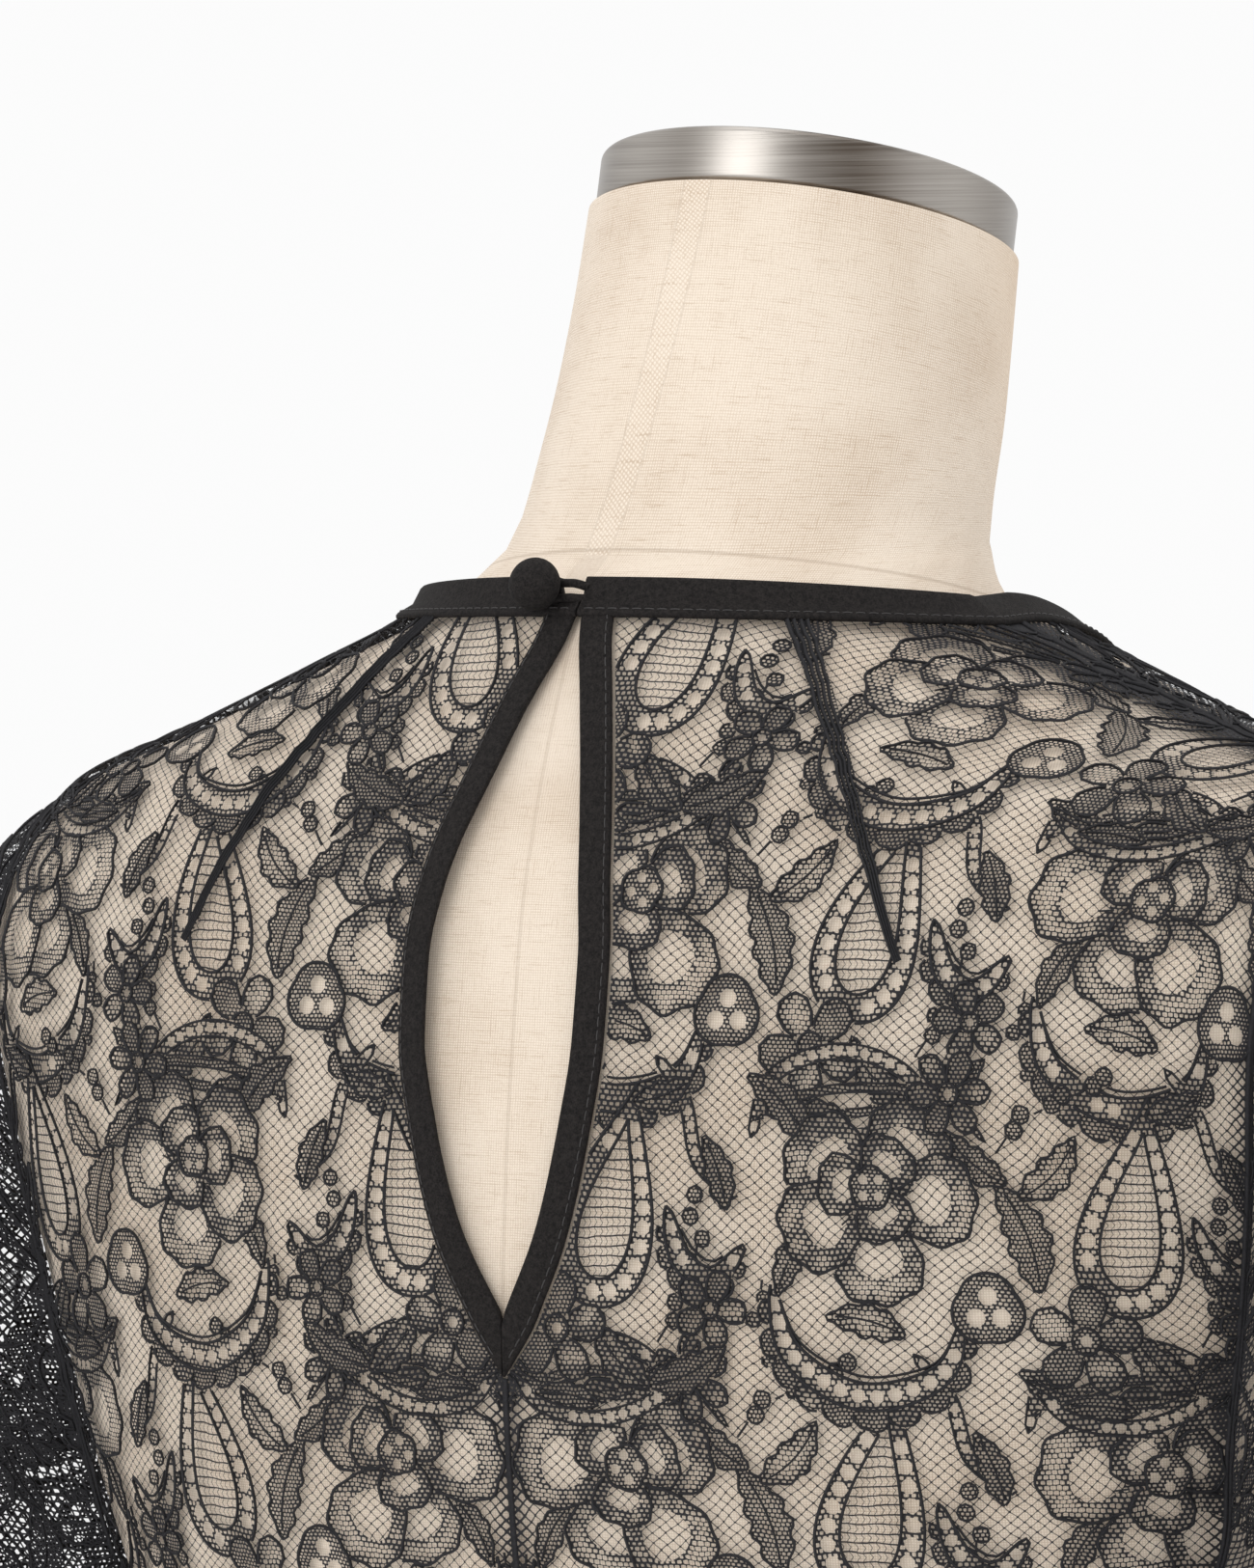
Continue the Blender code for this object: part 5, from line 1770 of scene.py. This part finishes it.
def ball_button(context, seat, side, up, out):
    """A flattened ball on a short shank, its foot on the seat."""
    low = BUTTON_RADIUS * BUTTON_FLATNESS * math.cos(math.radians(10))
    bpy.ops.object.select_all(action="DESELECT")
    bpy.ops.mesh.primitive_uv_sphere_add(segments=48, ring_count=18, radius=BUTTON_RADIUS * MM)
    button = context.view_layer.objects.active
    button.name = "button_crepe"
    bpy.ops.object.mode_set(mode="EDIT")
    bpy.ops.mesh.select_all(action="SELECT")
    bpy.ops.transform.resize(value=(1.0, 1.0, BUTTON_FLATNESS))
    bpy.ops.mesh.select_all(action="DESELECT")
    work = bmesh.from_edit_mesh(button.data)
    for face in work.faces:
        face.select_set(face.calc_center_median().z < -low * MM)
    bmesh.update_edit_mesh(button.data)
    bpy.ops.mesh.extrude_region_move(TRANSFORM_OT_translate={"value": (0.0, 0.0, -SHANK * MM)})
    bpy.ops.object.mode_set(mode="OBJECT")
    turn = Matrix((side, up, out)).transposed().to_4x4()
    button.matrix_world = Matrix.Translation(Vector(seat + out * (low + SHANK + 0.1)) * MM) @ turn
    bpy.ops.object.transform_apply(location=True, rotation=True, scale=True)
    bpy.ops.object.shade_smooth_by_angle(angle=SMOOTH_ANGLE)
    button.data.materials.append(shared("crepe", crepe_material))
    return button


def loop_path(reach, radius):
    """The loop's route over the button's seat: out from the sewn end, round the shank and back."""
    spread, ring = radius * 1.7, radius * 1.2 + 1.5
    leg = [(reach, radius * 1.05), (reach * 0.75, spread * 0.95), (ring * 1.3, spread)]
    turns = np.linspace(1.0, 2 * math.pi - 1.0, 11)
    round_shank = [(ring * math.cos(turn), ring * math.sin(turn)) for turn in turns]
    return rounded([*leg, *round_shank, *((x, -y) for x, y in leg[::-1])], 0.5)


def cord_rings(centre, out, radius):
    """Rings of ten points each round a cord that lies flat under the direction out."""
    turns = np.arange(10) * 2 * math.pi / 10
    rings = []
    for point, along in zip(centre, np.gradient(centre, axis=0)):
        across = np.cross(along - out * along.dot(out), out)
        across /= np.linalg.norm(across)
        ring = np.cos(turns)[:, None] * across + np.sin(turns)[:, None] * out
        rings.append(point + radius * ring)
    return rings


class OF_OT_button(bpy.types.Operator):
    """Add the covered ball button and its loop"""

    bl_idname = "object.lace_top_button"
    bl_label = "Button and Loop"

    def execute(self, context):
        seat, side, up, out = button_frame()
        button = ball_button(context, seat, side, up, out)
        foot = band_frame(-math.asin(SEAM_GAP / NECKLINE_HALF))[0]
        reach = (foot - seat).dot(side)
        towards = side * np.sign(reach)
        reach = abs(reach) + 1.2
        radius = sizes().loop_radius / MM
        path = loop_path(reach, radius)
        sink = 2.2 * np.clip((path[:, 0] - reach + 3.2) / 2.4, 0, 1)
        centre = seat + path[:, :1] * towards + path[:, 1:] * up + (0.85 - sink)[:, None] * out
        rings = cord_rings(centre, out, radius)
        loop = loft_object("button_loop_crepe", rings, shared("crepe", crepe_material))
        fix_facing(loop)
        for piece, node in ((button, "button"), (loop, "button_loop")):
            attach(piece, "root")
            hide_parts(node)
        return {"FINISHED"}


def add_light(name, place, aim, size, energy):
    bpy.ops.object.light_add(type="AREA", location=place)
    light = bpy.context.view_layer.objects.active
    light.name = name
    light.data.shape = "RECTANGLE"
    light.data.size, light.data.size_y = size
    light.data.energy = energy
    light.rotation_euler = (aim - place).to_track_quat("-Z", "Y").to_euler()


class OF_OT_studio(bpy.types.Operator):
    """Add the pale floor, the soft lights and the camera"""

    bl_idname = "object.lace_top_studio"
    bl_label = "Studio"

    def execute(self, context):
        scene = context.scene
        settings = scene.lace_top_studio
        scene.view_settings.view_transform = "Standard"
        bpy.ops.object.select_all(action="DESELECT")
        bpy.ops.mesh.primitive_plane_add(size=12.0, location=(0.0, 0.0, 0.0))
        floor = context.view_layer.objects.active
        floor.name = "floor"
        floor.data.materials.append(plain_material("floor", FLOOR_TONE, 0.9))
        world = bpy.data.worlds.new("studio")
        scene.world = world
        world.use_nodes = True
        background = world.node_tree.nodes["Background"]
        background.inputs["Color"].default_value = WORLD_TONE
        background.inputs["Strength"].default_value = WORLD_STRENGTH
        turn, rise = settings.camera_turn, settings.camera_rise
        side = Vector((-math.cos(turn), -math.sin(turn), 0.0))
        level_back = Vector((-math.sin(turn), math.cos(turn), 0.0))
        back = level_back * math.cos(rise) + Vector((0, 0, math.sin(rise)))
        aim = Vector(AIM)
        for name, behind, aside, above, size, energy in LIGHTS:
            place = aim + back * behind + side * aside + Vector((0, 0, above))
            add_light(name, place, aim, size, energy * settings.light_strength)
        camera_data = bpy.data.cameras.new("camera")
        camera = bpy.data.objects.new("camera", camera_data)
        scene.collection.objects.link(camera)
        scene.camera = camera
        camera_data.sensor_fit = "AUTO"
        camera_data.sensor_width = SENSOR
        camera_data.lens = FOCAL_PIXELS / PHOTO_SIZE[1] * SENSOR
        camera_data.shift_x = (PHOTO_SIZE[0] / 2 - PHOTO_CENTRE[0]) / PHOTO_SIZE[1]
        camera_data.shift_y = (PHOTO_CENTRE[1] - PHOTO_SIZE[1] / 2) / PHOTO_SIZE[1]
        camera_data.dof.use_dof = False
        camera_data.clip_start, camera_data.clip_end = 0.05, 50.0
        camera.location = aim + back * settings.camera_distance
        up = back.cross(side)
        roll = settings.camera_roll
        right = side * math.cos(roll) + up * math.sin(roll)
        up = up * math.cos(roll) - side * math.sin(roll)
        camera.rotation_euler = Matrix((right, up, back)).transposed().to_euler()
        return {"FINISHED"}


OPERATORS = (
    OF_OT_form, OF_OT_cap, OF_OT_back, OF_OT_front, OF_OT_sleeves,
    OF_OT_bindings, OF_OT_button, OF_OT_studio,
)


class OF_PT_lace_top(bpy.types.Panel):
    """Buttons that build the lace top piece by piece"""

    bl_label = "Lace Top"
    bl_idname = "OF_PT_lace_top"
    bl_space_type = "VIEW_3D"
    bl_region_type = "UI"
    bl_category = "Lace Top"

    def draw(self, context):
        layout = self.layout
        for word, group in GROUPS.items():
            box = layout.box()
            for name in group.__annotations__:
                box.prop(getattr(context.scene, word), name)
        for operator in OPERATORS:
            layout.operator(operator.bl_idname)


def register():
    for kind in (*GROUPS.values(), *OPERATORS, OF_PT_lace_top):
        bpy.utils.register_class(kind)
    for word, group in GROUPS.items():
        setattr(bpy.types.Scene, word, bpy.props.PointerProperty(type=group))


def unregister():
    for word in GROUPS:
        delattr(bpy.types.Scene, word)
    for kind in (OF_PT_lace_top, *OPERATORS[::-1], *GROUPS.values()):
        bpy.utils.unregister_class(kind)


def main():
    register()
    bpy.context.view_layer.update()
    bpy.ops.object.lace_top_form()
    bpy.ops.object.lace_top_cap()
    bpy.ops.object.lace_top_back()
    bpy.ops.object.lace_top_front()
    bpy.ops.object.lace_top_sleeves()
    bpy.ops.object.lace_top_bindings()
    bpy.ops.object.lace_top_button()
    bpy.ops.object.lace_top_studio()


if __name__ == "__main__":
    main()
